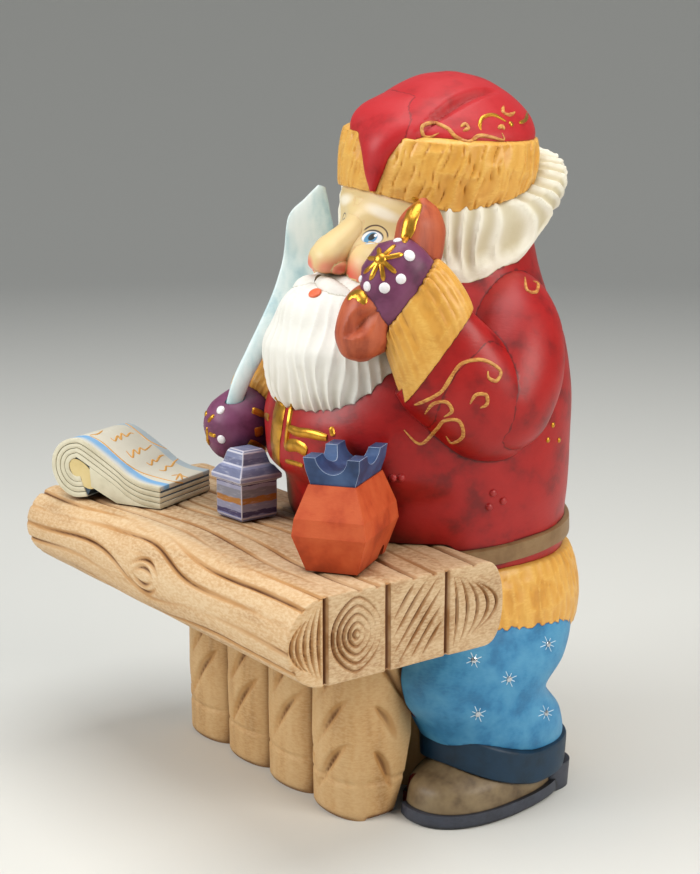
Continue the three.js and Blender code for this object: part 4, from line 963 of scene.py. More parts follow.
def boolean(target, other, operation):
    """Joins other to target or cuts it away, and removes other. The finishes go along with it."""
    if not other.data.materials:
        other.data.materials.append(target.data.materials[0])
    for finish in other.data.materials:
        if finish.name not in target.data.materials:
            target.data.materials.append(finish)
    select_only(target)
    modifier = target.modifiers.new("carving", "BOOLEAN")
    modifier.operation = operation
    modifier.object = other
    modifier.solver = "MANIFOLD"
    bpy.ops.object.modifier_apply(modifier="carving")
    bpy.data.objects.remove(other, do_unlink=True)


def room(low, high):
    """A plain block between two corners of the drawing, to cut room with."""
    low, high = to_frame(low), to_frame(high)
    bpy.ops.object.select_all(action="DESELECT")
    bpy.ops.mesh.primitive_cube_add(size=1.0, location=tuple((low + high) / 2))
    block = bpy.context.object
    bpy.ops.transform.resize(value=tuple(high - low))
    bpy.ops.object.transform_apply(location=True, rotation=True, scale=True)
    return block


santa = forms[0]
for form in forms[1:]:
    boolean(santa, form, "UNION")
santa.name = "carved_figure"
print("one block", len(santa.data.vertices), "vertices,", len(santa.material_slots), "finishes")

slab_left = slab["right"] - slab["length"]
slab_front = slab["rear"] - slab["depth"]
pedestal_top = slab["underside"] - fit_gap
pedestal_front = pedestal["rear"] - pedestal["depth"]
pedestal_left = pedestal["right"] - pedestal["logs"] * pedestal["log_width"]
rear_curve = 0.7
far = 2 * slab["length"]


def slab_room():
    """The table top's section grown by the gap, run on past its ends and its front."""
    reach, half = slab["rear_round"] + fit_gap, slab["thickness"] / 2 + fit_gap
    middle = slab["underside"] + slab["thickness"] / 2
    section = []
    for turn in np.linspace(-math.pi / 2, math.pi / 2, 40):
        rear_y = slab["rear"] - slab["rear_round"] + reach * abs(math.cos(turn)) ** rear_curve
        section.append((rear_y, middle + half * math.sin(turn)))
    section += [(slab_front - far, middle + half), (slab_front - far, middle - half)]
    rings = np.array([[(x, y, z) for y, z in section] for x in (-far, far)])
    return rolled_skin("slab_room", rings, coat_red)


boolean(santa, slab_room(), "DIFFERENCE")
boolean(santa, room((pedestal_left - far, pedestal_front - far, -far),
                    (pedestal["right"] + pedestal["side_bulge"] + 1 + fit_gap, pedestal["rear"] + fit_gap,
                     slab["underside"])), "DIFFERENCE")
print("with room for the table", len(santa.data.vertices), "vertices")

# %% [markdown]
# The table top is carved as one board: a round front log and three planks, with the wood's grain
# drawn by long V cuts that wave and part around a knot. Its right end shows end grain: arcs on
# the logs, almond rings on the first plank and slanted cuts on the second.

# %% The board's section and its grooves
grain = {"width": 2.4, "depth": 1.1, "spacing": 6.4, "end_width": 1.5, "end_depth": 1.0,
         "joint_width": 2.2, "joint_depth": 1.3}
slab_middle_z = slab["underside"] + slab["thickness"] / 2
half_thick = slab["thickness"] / 2
top_run = slab["depth"] - slab["front_round"] - slab["rear_round"]
nose_arc = math.pi * half_thick
knot_x = slab_left + 0.52 * slab["length"]
knot_arc = top_run + 0.46 * nose_arc
knot_reach, knot_half_length, knot_half_height = 18.0, 10.5, 5.2
knot_rings = ((1, 1), (0.62, 0.5))
plank_width = (slab["depth"] - slab["front_round"]) / 3


def board_point(x, distance, inset):
    """A point of the section by its distance from the top's rear edge forwards."""
    turn = np.clip((distance - top_run) / nose_arc, 0, 1) * math.pi
    y = np.where(distance <= top_run, slab["rear"] - slab["rear_round"] - distance,
                 slab_front + slab["front_round"] - (slab["front_round"] - inset) * np.sin(turn))
    z = slab_middle_z + (half_thick - inset) * np.cos(turn)
    return np.stack([np.broadcast_to(x, y.shape), y, z], axis=-1)


def groove_course(x, start):
    """Where a groove runs at x: it waves with its neighbours and parts around the knot."""
    run = (x - slab_left) / slab["length"]
    wave = 2.6 * np.sin(5.2 * run + 0.045 * start) + 1.2 * np.sin(12.5 * run + 0.09 * start)
    from_knot = start - knot_arc
    nearness = np.exp(-((x - knot_x) / knot_reach) ** 2 - (from_knot / (2 * knot_half_height)) ** 2)
    return start + wave + (-1 if from_knot < 0 else 1) * knot_half_height * nearness


def groove_depth(x, distance):
    """How deep the grain's V cuts are at points of the section at x."""
    depth = np.zeros(np.broadcast(x, distance).shape)
    count = int((top_run + 0.86 * nose_arc) / grain["spacing"])
    for number in range(count):
        course = groove_course(x, grain["spacing"] * (number + 0.75))
        fade = 0.55 + 0.45 * np.sin(2.1 * number + 0.045 * x)
        gap = np.abs(distance - course) / (grain["width"] / 2 * (0.75 + 0.25 * fade))
        depth = np.maximum(depth, grain["depth"] * fade * np.clip(1 - gap, 0, 1))
    return depth


def knot_paths():
    """The knot's rings, each as an upper and a lower arc."""
    steps = np.linspace(-1, 1, 9)
    return [board_point(knot_x + length * knot_half_length * steps,
                        knot_arc + way * height * knot_half_height * (1 - steps ** 2), 0)
            for length, height in knot_rings for way in (1, -1)]


# %% [markdown]
# The right end is cut across the grain. Its V cuts are paths in a flat plane.

# %% End grain
def end_grain_paths():
    """The cuts of the right end: the joints between the planks, and the fine year rings."""
    x = slab["right"]
    joints = [slab_front + slab["front_round"] + i * plank_width for i in range(3)]
    deep = [[(x, y, slab_middle_z - half_thick), (x, y, slab_middle_z + half_thick)] for y in joints]
    fine = []
    middle = (joints[0] + joints[1]) / 2
    for share in (0.12, 0.32, 0.54, 0.76, 0.98):
        ring = []
        for angle in np.linspace(0, 2 * math.pi, 17):
            pinch = 1 - 0.35 * abs(math.sin(angle)) ** 3
            ring.append((x, middle + 0.4 * plank_width * share * math.cos(angle) * pinch,
                         slab_middle_z + 0.42 * slab["thickness"] * share * math.sin(angle)))
        fine.append(ring)
    for i in range(-2, 4):
        y = joints[1] + plank_width * (0.5 + 0.19 * (i - 0.5))
        low = max(y - 0.42 * plank_width, joints[1] + 2.0)
        high = min(y + 0.42 * plank_width, joints[2] - 2.0)
        slanted = (low, (low + high) / 2 + 0.8, high)
        fine.append([(x, value, slab_middle_z + (value - y) * 1.25) for value in slanted])
    for edge, way in ((joints[0], -1), (joints[2], 1)):
        width = slab["front_round"] if way < 0 else slab["rear"] - joints[2]
        for share in (0.18, 0.36, 0.54, 0.72, 0.88):
            path = []
            for step in np.linspace(-1, 1, 7):
                bow = way * width * share * (1 - 0.42 * step * step)
                height = 0.42 * slab["thickness"] * step * (1.12 - 0.5 * share)
                path.append((x, edge + bow, slab_middle_z + height))
            fine.append(path)
    return deep, fine


# %% [markdown]
# The board is one skin: sections along X with the grain cut into them, and a cap at each end. An
# extruded outline would be simpler, but it couldn't carry cuts that wave.

# %% The carved board
def closing_rings(ring, start, end, count):
    """Rings that close an end: each point goes straight to the nearest point of a line."""
    start, end = np.asarray(start, float), np.asarray(end, float)
    run = end - start
    share = np.clip(((ring - start) @ run) / (run @ run), 0, 1)
    target = start + share[:, None] * run
    return np.array([ring + (target - ring) * step for step in np.linspace(0, 1, count + 1)[1:]])


def planks_browner(material, colour):
    """The stain is browner on the planks than on the front log."""
    where = add(material, "ShaderNodeTexCoord").outputs["Object"]
    depth = add(material, "ShaderNodeSeparateXYZ", {"Vector": where}).outputs["Y"]
    joint = to_frame((0, slab_front + slab["front_round"], 0))[1]
    browner = ramped(material, depth, joint - 1.5 * MM, joint + 1.5 * MM, 0.0, 0.75)
    return blended(material, browner, colour, "#9A6C3E")


carved_linden = painted_wood("stained_carved_linden", "#BC8C55", "#5E3412", "#E2CDA8", roughness=0.6,
                             coat=0.0, wash=1.0, brush=0.55, blotch=0.35, stretch=(6.0, 1.0, 1.0),
                             decorate=planks_browner)


def board_stations():
    """Where each section stands along X, and how far it is drawn in there."""
    soft = 1.5 * slab["left_round"]
    left = [(slab_left + soft * t, slab["left_round"] * (1 - math.sqrt(1 - (1 - t) ** 2)))
            for t in np.linspace(0, 0.9, 8)]
    run = [(x, 0.0) for x in np.linspace(slab_left + soft, slab["right"] - 0.6, 140)]
    return left + run + [(slab["right"] - 0.2, 0.15), (slab["right"], 0.6)]


def board():
    """Sections along X, with the grain cut into them, closed by caps at both ends."""
    distance = np.concatenate([np.linspace(0, top_run, 140, endpoint=False),
                               np.linspace(top_run, top_run + nose_arc, 100)])
    under = (slab["rear"] - slab["rear_round"] - distance[1:140])[::-1]
    turn = np.linspace(-math.pi / 2, math.pi / 2, 41)[:-1]
    rings, depth = [], []
    for x, inset in board_stations():
        front = board_point(x, distance, inset)
        below = np.stack([np.full_like(under, x), under,
                          np.full_like(under, slab["underside"] + inset)], axis=-1)
        swell = (slab["rear_round"] - inset) * np.abs(np.cos(turn)) ** rear_curve
        rear_y = slab["rear"] - slab["rear_round"] + swell
        rear = np.stack([np.full_like(rear_y, x), rear_y,
                         slab_middle_z + (half_thick - inset) * np.sin(turn)], axis=-1)
        rings.append(np.concatenate([front, below, rear]))
        depth.append(np.concatenate([groove_depth(x, distance), np.zeros(len(below) + len(rear))]))
    rings, depth = np.array(rings), np.array(depth)
    spine = [(slab_front + slab["front_round"], slab_middle_z),
             (slab["rear"] - slab["rear_round"], slab_middle_z)]
    right_cap = closing_rings(rings[-1], (slab["right"], *spine[0]), (slab["right"], *spine[1]), 34)
    left_cap = closing_rings(rings[0], (slab_left, *spine[0]), (slab_left, *spine[1]), 6)[::-1]
    rings = np.concatenate([left_cap, rings, right_cap])
    depth = np.concatenate([np.zeros(left_cap.shape[:2]), depth, np.zeros(right_cap.shape[:2])])
    joints, arcs = end_grain_paths()
    depth = np.maximum(depth, cut_depth(rings, knot_paths(), grain["width"], grain["depth"]))
    depth = np.maximum(depth, cut_depth(rings, joints, grain["joint_width"], grain["joint_depth"],
                                        tapered=False))
    depth = np.maximum(depth, cut_depth(rings, arcs, grain["end_width"], grain["end_depth"]))
    worked = 0.12 * unevenness(rings, 5.0)
    out = outward(rings)
    out[:len(left_cap)] = (-1, 0, 0)
    out[-len(right_cap):] = (1, 0, 0)
    rings = rings - out * (depth - worked + 0.12)[..., None]
    return rolled_skin("log_table_top", rings, carved_linden, 1 - depth / grain["depth"], zipped=True)


table = board()
print("board", len(table.data.vertices))

# %% [markdown]
# The pedestal is a block whose front is carved as four half logs, with leaf-shaped knife cuts that
# slant like grain, and one groove round the logs near the floor. It narrows a little to the floor.

# %% The pedestal
pedestal_linden = painted_wood("oiled_carved_linden", "#B88A52", "#643A16", "#D8BC8E", roughness=0.6,
                               coat=0.0, wash=0.9, brush=0.4, blotch=0.4, stretch=(1.0, 1.0, 5.0))
foot_ring = 12.0
pedestal_levels = np.array([
    (0, -0.8, 0.2, 1), (1.2, 0, 0.4, 0.9), (foot_ring - 1.2, 0.1, 0.8, 0.4), (foot_ring, -0.5, 0.8, 0.35),
    (foot_ring + 1.2, 0.1, 0.8, 0.3), (0.4 * pedestal_top, 0.6, 1, 0), (pedestal_top, 0, 0.6, 0),
])


def pedestal_outline(widen, bulge, taper):
    """The pedestal seen from above: half logs in front, a swelling right side, a flat rear."""
    points = []
    edge = pedestal_front + pedestal["bulge"]
    for log in range(pedestal["logs"]):
        for turn in np.linspace(0, math.pi, 30, endpoint=False):
            x = pedestal_left + pedestal["log_width"] * (log + 0.5 - 0.5 * math.cos(turn))
            points.append((x, edge - (pedestal["bulge"] + widen) * math.sin(turn) ** 0.8))
    right, left, rear = pedestal["right"] + widen, pedestal_left - widen, pedestal["rear"] - taper
    for share in np.linspace(0, 1, 30, endpoint=False):
        points.append((right + bulge * math.sin(math.pi * share), edge + (rear - edge) * share))
    points += [(x, rear) for x in np.linspace(right, left, 24, endpoint=False)]
    points += [(left, y) for y in np.linspace(rear, edge, 10, endpoint=False)]
    return np.array(points)


def log_front(log, share, z):
    """A point on a half log, at a share of its width."""
    turn = math.pi * share
    return (pedestal_left + pedestal["log_width"] * (log + 0.5 - 0.5 * math.cos(turn)),
            pedestal_front + pedestal["bulge"] - (pedestal["bulge"] + 0.3) * math.sin(turn) ** 0.8, z)


def leaf_paths():
    """The leaf-shaped cuts, three and a short one on each log, and three on the right side."""
    paths, rise = [], 20.0
    for log in range(pedestal["logs"]):
        for row in range(3):
            low = 9 + 14.5 * row - 3 * (log % 2) + 6 * (log < 3)
            paths.append([log_front(log, 0.36 + 0.42 * t, low + rise * t + 2 * math.sin(math.pi * t))
                          for t in (0, 0.5, 1)])
        low = 12 + 13 * (log % 3)
        paths.append([log_front(log, 0.34 - 0.28 * t, low + 16 * t) for t in (0, 0.5, 1)])
    edge = pedestal_front + pedestal["bulge"]
    for row in range(3):
        low, reach = 8 + 15 * row, 9 + 2 * row
        paths.append([(pedestal["right"] + 0.8 * pedestal["side_bulge"], edge + reach + (1.5 - reach) * t,
                       low + 15 * t + 2 * math.sin(math.pi * t)) for t in (0, 0.5, 1)])
    return paths


def log_pedestal():
    heights = np.linspace(0, pedestal_top, 120)
    level_heights, *level_values = pedestal_levels.T
    widen, bulge, taper = (np.interp(heights, level_heights, row) for row in level_values)
    rings = []
    for z, wider, rounder, nearer in zip(heights, widen, bulge, taper):
        outline = pedestal_outline(wider, rounder * pedestal["side_bulge"], nearer * pedestal["foot_taper"])
        rings.append(np.column_stack([outline, np.full(len(outline), z)]))
    rings = np.array(rings)
    left, right = pedestal_left + 8, pedestal["right"] - 8
    middle = pedestal["rear"] - pedestal["depth"] / 2 + 2
    top_cap = closing_rings(rings[-1], (left, middle, pedestal_top), (right, middle, pedestal_top), 3)
    foot_cap = closing_rings(rings[0], (left, middle, 0), (right, middle, 0), 3)[::-1]
    depth = cut_depth(rings, leaf_paths(), pedestal["cut_width"], pedestal["cut_depth"])
    worked = 0.12 * unevenness(rings, 6.0) - 0.12
    rings = rings - outward(rings) * (depth - worked)[..., None]
    rings[..., 2] = np.clip(rings[..., 2], 0, pedestal_top)
    rings = np.concatenate([foot_cap, rings, top_cap])
    depth = np.concatenate([np.zeros(foot_cap.shape[:2]), depth, np.zeros(top_cap.shape[:2])])
    return rolled_skin("log_pedestal", rings, pedestal_linden, 1 - depth / pedestal["cut_depth"])


stand = log_pedestal()
print("pedestal", len(stand.data.vertices))

# %% [markdown]
# The small things on the table are plain knife work with crisp edges, so they are modelled as by
# hand: a plane is extruded upwards level by level and scaled, holes are cut with a primitive, and
# the Bevel modifier takes the edges off. The paint is worn pale on those edges, so the bevel's
# faces get a paler finish.

# %% Helpers for knife work
def raised_levels(name, levels, finish):
    """A four-sided body: each level is height, half the width and half the depth, in millimetres."""
    bpy.ops.object.select_all(action="DESELECT")
    bpy.ops.mesh.primitive_plane_add(size=2 * MM)
    body = bpy.context.object
    body.name = body.data.name = name
    height, half_x, half_y = levels[0]
    bpy.ops.object.mode_set(mode="EDIT")
    bpy.ops.mesh.select_all(action="SELECT")
    bpy.ops.transform.resize(value=(half_x, half_y, 1))
    bpy.ops.transform.translate(value=(0, 0, height * MM))
    for next_height, next_x, next_y in levels[1:]:
        lift = (0, 0, (next_height - height) * MM)
        bpy.ops.mesh.extrude_region_move(TRANSFORM_OT_translate={"value": lift})
        bpy.ops.transform.resize(value=(next_x / half_x, next_y / half_y, 1), center_override=(0, 0, 0))
        height, half_x, half_y = next_height, next_x, next_y
    bpy.ops.mesh.select_all(action="SELECT")
    bpy.ops.mesh.normals_make_consistent(inside=False)
    bpy.ops.object.mode_set(mode="OBJECT")
    body.data.materials.append(finish)
    return body


def edges_taken_off(piece, width_mm, worn, angle=25.0):
    """Bevels the edges that turn by more than angle; the bevel gets the worn finish."""
    select_only(piece)
    piece.data.materials.append(worn)
    bevel = piece.modifiers.new("edges", "BEVEL")
    bevel.width = width_mm * MM
    bevel.segments = 2
    bevel.limit_method = "ANGLE"
    bevel.angle_limit = math.radians(angle)
    bevel.material = len(piece.data.materials) - 1
    bpy.ops.object.modifier_apply(modifier="edges")


def stood_on_table(piece, x, y, turn_degrees):
    """Turns a piece that was made round the origin and sets it on the table, its place in its mesh."""
    spot = to_frame((x, y, table_top_z + fit_gap))
    piece.data.transform(Matrix.Translation(spot) @ Matrix.Rotation(math.radians(turn_degrees), 4, "Z"))


# %% [markdown]
# The ink box: a small square box under a stepped roof, painted in bands of lavender, grey, ochre
# and dark purple. The bands follow the height, so its finish reads the height above the table.

# %% Ink box
ink_box = {"side": 14.0, "body": 12.8, "eave": 1.2, "roof": 9.4, "top": 7.4, "from_right": 85.3,
           "from_rear": 35.0, "turn": 3.0}


def height_bands(material, bands, base_z):
    """A colour that changes with height: bands are (height above base in mm, colour)."""
    where = add(material, "ShaderNodeTexCoord").outputs["Object"]
    height = add(material, "ShaderNodeSeparateXYZ", {"Vector": where}).outputs["Z"]
    waver = ramped(material, mottle(material, 5.0, seed=9.0), 0.0, 1.0, -0.5 * MM, 0.5 * MM)
    height = add(material, "ShaderNodeMath", {0: height, 1: waver}, operation="ADD").outputs["Value"]
    colour = bands[0][1]
    for start, tone in bands[1:]:
        edge = (base_z + start) * MM
        colour = blended(material, ramped(material, height, edge - 0.12 * MM, edge + 0.12 * MM), colour, tone)
    return colour


def banded_paint(name, bands, base_z):
    """Paint in level bands, drybrushed with a pale and a dark tone that run down a little."""
    material, shader = new_finish(name, 0.55, 0.1)
    colour = height_bands(material, bands, base_z)
    streak = mottle(material, 1.4, detail=4.0, stretch=(3.0, 3.0, 0.6))
    colour = blended(material, ramped(material, streak, 0.5, 0.8, 0.0, 0.45), colour, "#C9C8D2")
    colour = blended(material, ramped(material, streak, 0.45, 0.2, 0.0, 0.35), colour, "#3A3852")
    material.node_tree.links.new(colour, shader.inputs["Base Color"])
    roughened(material, shader, streak, 0.1)
    return material


box_foot = table_top_z + fit_gap
box_paint = banded_paint("lavender_banded_paint", [
    (0, "#7A7FA8"), (1.6, "#3A3560"), (3.2, "#8A8CA6"), (5.6, "#A8702F"), (7.6, "#80828F"), (10.4, "#9A9CB8"),
    (11.6, "#454468"), (12.8, "#8E92B0"), (14.4, "#666B88"), (16.8, "#858AA8"), (18.0, "#5E6280"),
    (19.6, "#747A98")], box_foot)
worn_box_edge = knife_work("worn_pale_edge_of_box", "#BCBBC8", "#8E8CA0", "#DCDAD8")
half, top, roof, body = ink_box["side"] / 2, ink_box["top"] / 2, ink_box["roof"], ink_box["body"]
shoulder = half + (top - half) * 0.45
box_levels = [(height, reach, reach) for height, reach in (
    (0, half - 0.6), (1, half), (body - 0.6, half), (body, half + ink_box["eave"]),
    (body + 0.16 * roof, half + ink_box["eave"]), (body + 0.42 * roof, shoulder + 1),
    (body + 0.5 * roof, shoulder), (body + 0.92 * roof, top + 0.7), (body + roof, top))]
box_place = (slab["right"] - ink_box["from_right"], slab["rear"] - ink_box["from_rear"], ink_box["turn"])
ink = raised_levels("ink_box_with_stepped_roof", box_levels, box_paint)
edges_taken_off(ink, 0.3, worn_box_edge)
stood_on_table(ink, *box_place)
print("ink box", len(ink.data.polygons))

# %% [markdown]
# The telephone: a body widest at its waist, with an arch cut through below, and a cradle on top
# that flares out and is hollowed lengthwise and crosswise to take a handset.

# %% Telephone
phone = {"front": 15.4, "depth": 25.5, "height": 25.0, "waist": 10.5, "flare": 3.4, "inset": 0.6,
         "arch_height": 3.6, "arch_width": 4.2, "foot": 2.8, "cradle": 8.0, "cradle_flare": 1.7, "scoop": 4.8,
         "from_right": 23.7, "from_rear": 40.1, "turn": 35.0}
phone_place = (slab["right"] - phone["from_right"], slab["rear"] - phone["from_rear"], phone["turn"])
phone_paint = knife_work("orange_red_paint_on_telephone", "#B5441A", "#8A300F", "#CC6234",
                         coat=0.05, blotch=0.6)
worn_phone_edge = knife_work("worn_edge_of_telephone", "#D07C52", "#B25A34", "#E09A74")
cradle_paint = knife_work("dark_blue_paint_on_cradle", "#263F68", "#16263F", "#48648C",
                          roughness=0.5, coat=0.1, blotch=0.6)
worn_cradle_edge = knife_work("worn_pale_edge_of_cradle", "#8A9BB4", "#5C7092", "#C4CAD2")


def cutter(place, radius, length, scale, along):
    """A cylinder to hollow with, lying along X or Y, in millimetres."""
    bpy.ops.object.select_all(action="DESELECT")
    bpy.ops.mesh.primitive_cylinder_add(vertices=48, radius=radius * MM, depth=length * MM)
    tool = bpy.context.object
    bpy.ops.transform.resize(value=(scale[0], scale[1], 1))
    turn = Matrix.Rotation(math.pi / 2, 4, "Y") if along == "X" else Matrix.Rotation(-math.pi / 2, 4, "X")
    bpy.ops.object.transform_apply(location=False, rotation=False, scale=True)
    tool.data.transform(Matrix.Translation(Vector(place) * MM) @ turn)
    return tool


wide, deep, flare, rise = phone["front"] / 2, phone["depth"] / 2, phone["flare"], phone["height"]
inset = phone["inset"]
phone_levels = [(0, wide, deep), (phone["waist"], wide + flare, deep + 0.8 * flare),
                (0.62 * rise, wide + 0.8 * flare, deep + 0.7 * flare), (rise, wide - inset, deep - inset)]
telephone = raised_levels("telephone_body", phone_levels, phone_paint)
arch_y = deep - phone["foot"] - phone["arch_width"] / 2
boolean(telephone, cutter((0, arch_y, 0), phone["arch_width"] / 2, 4 * phone["front"],
                          (2 * phone["arch_height"] / phone["arch_width"], 1), "X"), "DIFFERENCE")
edges_taken_off(telephone, 0.25, worn_phone_edge, angle=8.0)
wide, deep, out = wide - inset - 0.4, deep - inset - 0.6, phone["cradle_flare"]
cradle_levels = [(rise - 1, wide, deep), (rise, wide, deep),
                 (rise + 0.55 * phone["cradle"], wide + 0.8 * out, deep + 0.3 * out),
                 (rise + phone["cradle"], wide + out, deep + 0.8 * out)]
cradle = raised_levels("telephone_cradle", cradle_levels, cradle_paint)
scoop_z = rise + phone["cradle"] + 0.15 * phone["scoop"]
boolean(cradle, cutter((0, 0, scoop_z), phone["scoop"], 4 * deep, (1, 1.15), "Y"), "DIFFERENCE")
boolean(cradle, cutter((0, 0, scoop_z), phone["scoop"], 6 * wide, (0.85, 1.25), "X"), "DIFFERENCE")
edges_taken_off(cradle, 0.22, worn_cradle_edge)
boolean(telephone, cradle, "UNION")
telephone.name = "table_telephone"
stood_on_table(telephone, *phone_place)
print("telephone", len(telephone.data.polygons))

# %% [markdown]
# The list: four sheets, flat at one end and rolled under at the other. Each sheet is its section
# extruded across, with its edges taken off; together they make the stack with its fine grooves.

# %% List scroll
scroll = {"width": 30.0, "flat": 24.0, "sheets": 4, "sheet": 1.85, "roll": 10.6, "from_left": 11.5,
          "from_front": 17.1, "turn": 26.0}
stack = scroll["sheets"] * scroll["sheet"]


def sheet_line(share):
    """The section of the stack at a share of its thickness from outside, from roll to flat end."""
    inset = share * stack
    radius = scroll["roll"] - inset
    points = []
    for i in range(8):
        turn = math.radians(292 - i * 32.1)
        points.append((scroll["roll"] + radius * math.cos(turn), 0,
                       scroll["roll"] + radius * math.sin(turn) * (0.92 if math.sin(turn) > 0 else 1)))
    for part in (0.24, 0.45, 0.7, 1):
        fall = (2 * scroll["roll"] - stack - 1.2) * (1 - part) ** 2.4
        points.append((1.9 * scroll["roll"] + part * scroll["flat"], 0, stack - inset + fall * 0.92))
    return along_path(points, 6)


def extruded(name, outline, width, finish):
    """A flat outline in X and Z, in millimetres, extruded across Y."""
    bpy.ops.object.select_all(action="DESELECT")
    bpy.ops.mesh.primitive_circle_add(vertices=len(outline), fill_type="NGON")
    piece = bpy.context.object
    piece.name = piece.data.name = name
    for vertex, point in zip(piece.data.vertices, outline):
        vertex.co = (point[0] * MM, -width / 2 * MM, point[2] * MM)
    bpy.ops.object.mode_set(mode="EDIT")
    bpy.ops.mesh.select_all(action="SELECT")
    bpy.ops.mesh.extrude_region_move(TRANSFORM_OT_translate={"value": (0, width * MM, 0)})
    bpy.ops.mesh.select_all(action="SELECT")
    bpy.ops.mesh.normals_make_consistent(inside=False)
    bpy.ops.object.mode_set(mode="OBJECT")
    piece.data.materials.append(finish)
    return piece


def painted_borders(material, colour):
    """Light blue along the near edge and grey blue along the far one, both fading inwards."""
    where = add(material, "ShaderNodeTexCoord").outputs["Object"]
    spot = to_frame((slab_left + scroll["from_left"], slab_front + scroll["from_front"], table_top_z))
    flat = add(material, "ShaderNodeMapping", {
        "Vector": where, "Location": tuple(spot), "Rotation": (0, 0, math.radians(scroll["turn"])),
        "Scale": (MM, MM, MM)}, vector_type="TEXTURE").outputs["Vector"]
    across = add(material, "ShaderNodeSeparateXYZ", {"Vector": flat}).outputs["Y"]
    half = scroll["width"] / 2
    near = ramped(material, across, -half + 0.6, -half + 3.6, 0.1, 1.0)
    ends = ramped(material, across, -half + 5.4, -half + 5.6, 1.0, 0.0)
    band = add(material, "ShaderNodeMath", {0: near, 1: ends}, operation="MULTIPLY").outputs["Value"]
    colour = blended(material, band, colour, "#6FA6D2")
    far_band = ramped(material, across, half - 4.2, half - 4.0, 0.0, 0.75)
    return blended(material, far_band, colour, "#9DB4C2")


sheet_edge = knife_work("cream_paint_on_sheets", "#D0C9AE", "#A39B7C", "#E2DDC8")
sheet_face = knife_work("cream_and_blue_painted_list", "#D2CDBB", "#B9B4A0", "#DFDBCD",
                        roughness=0.5, coat=0.1, blotch=0.15, decorate=painted_borders)
core_cream = knife_work("ochre_cream_core_of_roll", "#D6C085", "#A98A4C", "#E4D4A4")
groove_paint = knife_work("blue_grey_paint_in_grooves", "#3A4C5C", "#24303A", "#5A6E7E")
gap_share = 0.035
sheets = []
for number in range(scroll["sheets"]):
    outer = sheet_line((number + (gap_share if number else 0)) / scroll["sheets"])
    inner = sheet_line((number + 1 - gap_share) / scroll["sheets"])
    sheet = extruded(f"sheet_{number}", list(outer) + list(inner[::-1]), scroll["width"],
                     sheet_face if number == 0 else sheet_edge)
    edges_taken_off(sheet, 0.35, sheet_edge, angle=50.0)
    sheets.append(sheet)
core_radius = scroll["roll"] - stack + 0.2
core_lean = math.radians(-40)
core_outline = []
for t in np.linspace(0, 2 * math.pi, 40, endpoint=False):
    along, across = 6.4 * math.cos(t), core_radius * math.sin(t)
    core_outline.append((scroll["roll"] + 2.2 + along * math.cos(core_lean) - across * math.sin(core_lean), 0,
                         scroll["roll"] - 2.2 + along * math.sin(core_lean) + across * math.cos(core_lean)))
sheets.append(extruded("core", core_outline, scroll["width"] - 0.5, core_cream))
tip_x, foot_x, roll_point = 44.0, 26.7, (16.4, 0, 4.45)
outline = list(sheet_line(0.06)) + [(tip_x, 0, 0.1), (foot_x, 0, 0.1), roll_point]
sheets.append(extruded("grooves", outline, scroll["width"] - 1.2, groove_paint))
lower = [point for point in sheet_line(1.0)
         if point[0] > 1.5 * scroll["roll"] and point[2] < 1.2 * scroll["roll"]]
wedge = lower + [(1.9 * scroll["roll"] + scroll["flat"] - 0.3, 0, 0.0), (foot_x, 0, 0.0), roll_point]
sheets.append(extruded("lowest", wedge, scroll["width"], sheet_edge))
edges_taken_off(sheets[-1], 0.25, sheet_edge, angle=50.0)
listing = sheets[0]
for sheet in sheets[1:]:
    boolean(listing, sheet, "UNION")
listing.name = "rolled_list"
top_line = np.array(sheet_line(0.0))[:, [0, 2]]
written = list(listing.data.materials).index(sheet_face)
edge = list(listing.data.materials).index(sheet_edge)
for face in listing.data.polygons:
    spot = np.array((face.center.x, face.center.z)) / MM
    on_top = abs(face.normal.y) < 0.3 and np.linalg.norm(top_line - spot, axis=1).min() < 1.3 and (
        np.dot((face.normal.x, face.normal.z), spot - (scroll["roll"], scroll["roll"] * 0.5)) > 0)
    if on_top:
        face.material_index = written
    elif face.material_index == written:
        face.material_index = edge
stood_on_table(listing, slab_left + scroll["from_left"], slab_front + scroll["from_front"], scroll["turn"])
print("list", len(listing.data.polygons))

# %% [markdown]
# The quill is a flat carved feather that stands in a slot of the writing mitten.

# %% Quill
quill_shape = {"thickness": 2.6, "blade": 15.5, "stem": 5.6}


def quill_rows(grow=0.0):
    stem, blade, thick = quill_shape["stem"] / 2, quill_shape["blade"] / 2, quill_shape["thickness"] / 2
    rows = [
        (-39, -54, 110, 0.5 * stem, thick), (-37.6, -52, 120, 0.8 * stem, thick),
        (-36.4, -48.8, 130.5, stem, thick), (-36, -43.4, 140, 1.05 * stem, 0.9 * thick),
        (-36, -36.4, 150, 1.3 * stem, 0.85 * thick),
        (-36, -27.8, 161.5, 0.74 * blade, 0.8 * thick), (-36, -22.4, 171.5, 0.98 * blade, 0.75 * thick),
        (-36, -21, 181, blade, 0.7 * thick), (-36, -18.4, 188, 0.56 * blade, 0.6 * thick),
        (-36, -16.4, 193.4, 0.16 * blade, 0.45 * thick),
    ]
    ends = {0: -1.4 * grow, len(rows) - 1: 1.4 * grow}
    return [(x, y, z + ends.get(i, 0), across + grow, through + grow, through + grow, 2)
            for i, (x, y, z, across, through) in enumerate(rows)]


feather_paint = painted_wood("white_and_blue_paint_on_feather", "#B9D2D3", "#6FA3B4", "#EEF2EE",
                             roughness=0.45, coat=0.15, blotch=0.7, stretch=(1.0, 1.0, 3.0))
quill_side = np.array([0.5, 0.866, 0.0])
slot_room = carved("quill_room", quill_rows(fit_gap), feather_paint, 40, 60, side=quill_side)
boolean(santa, slot_room, "DIFFERENCE")


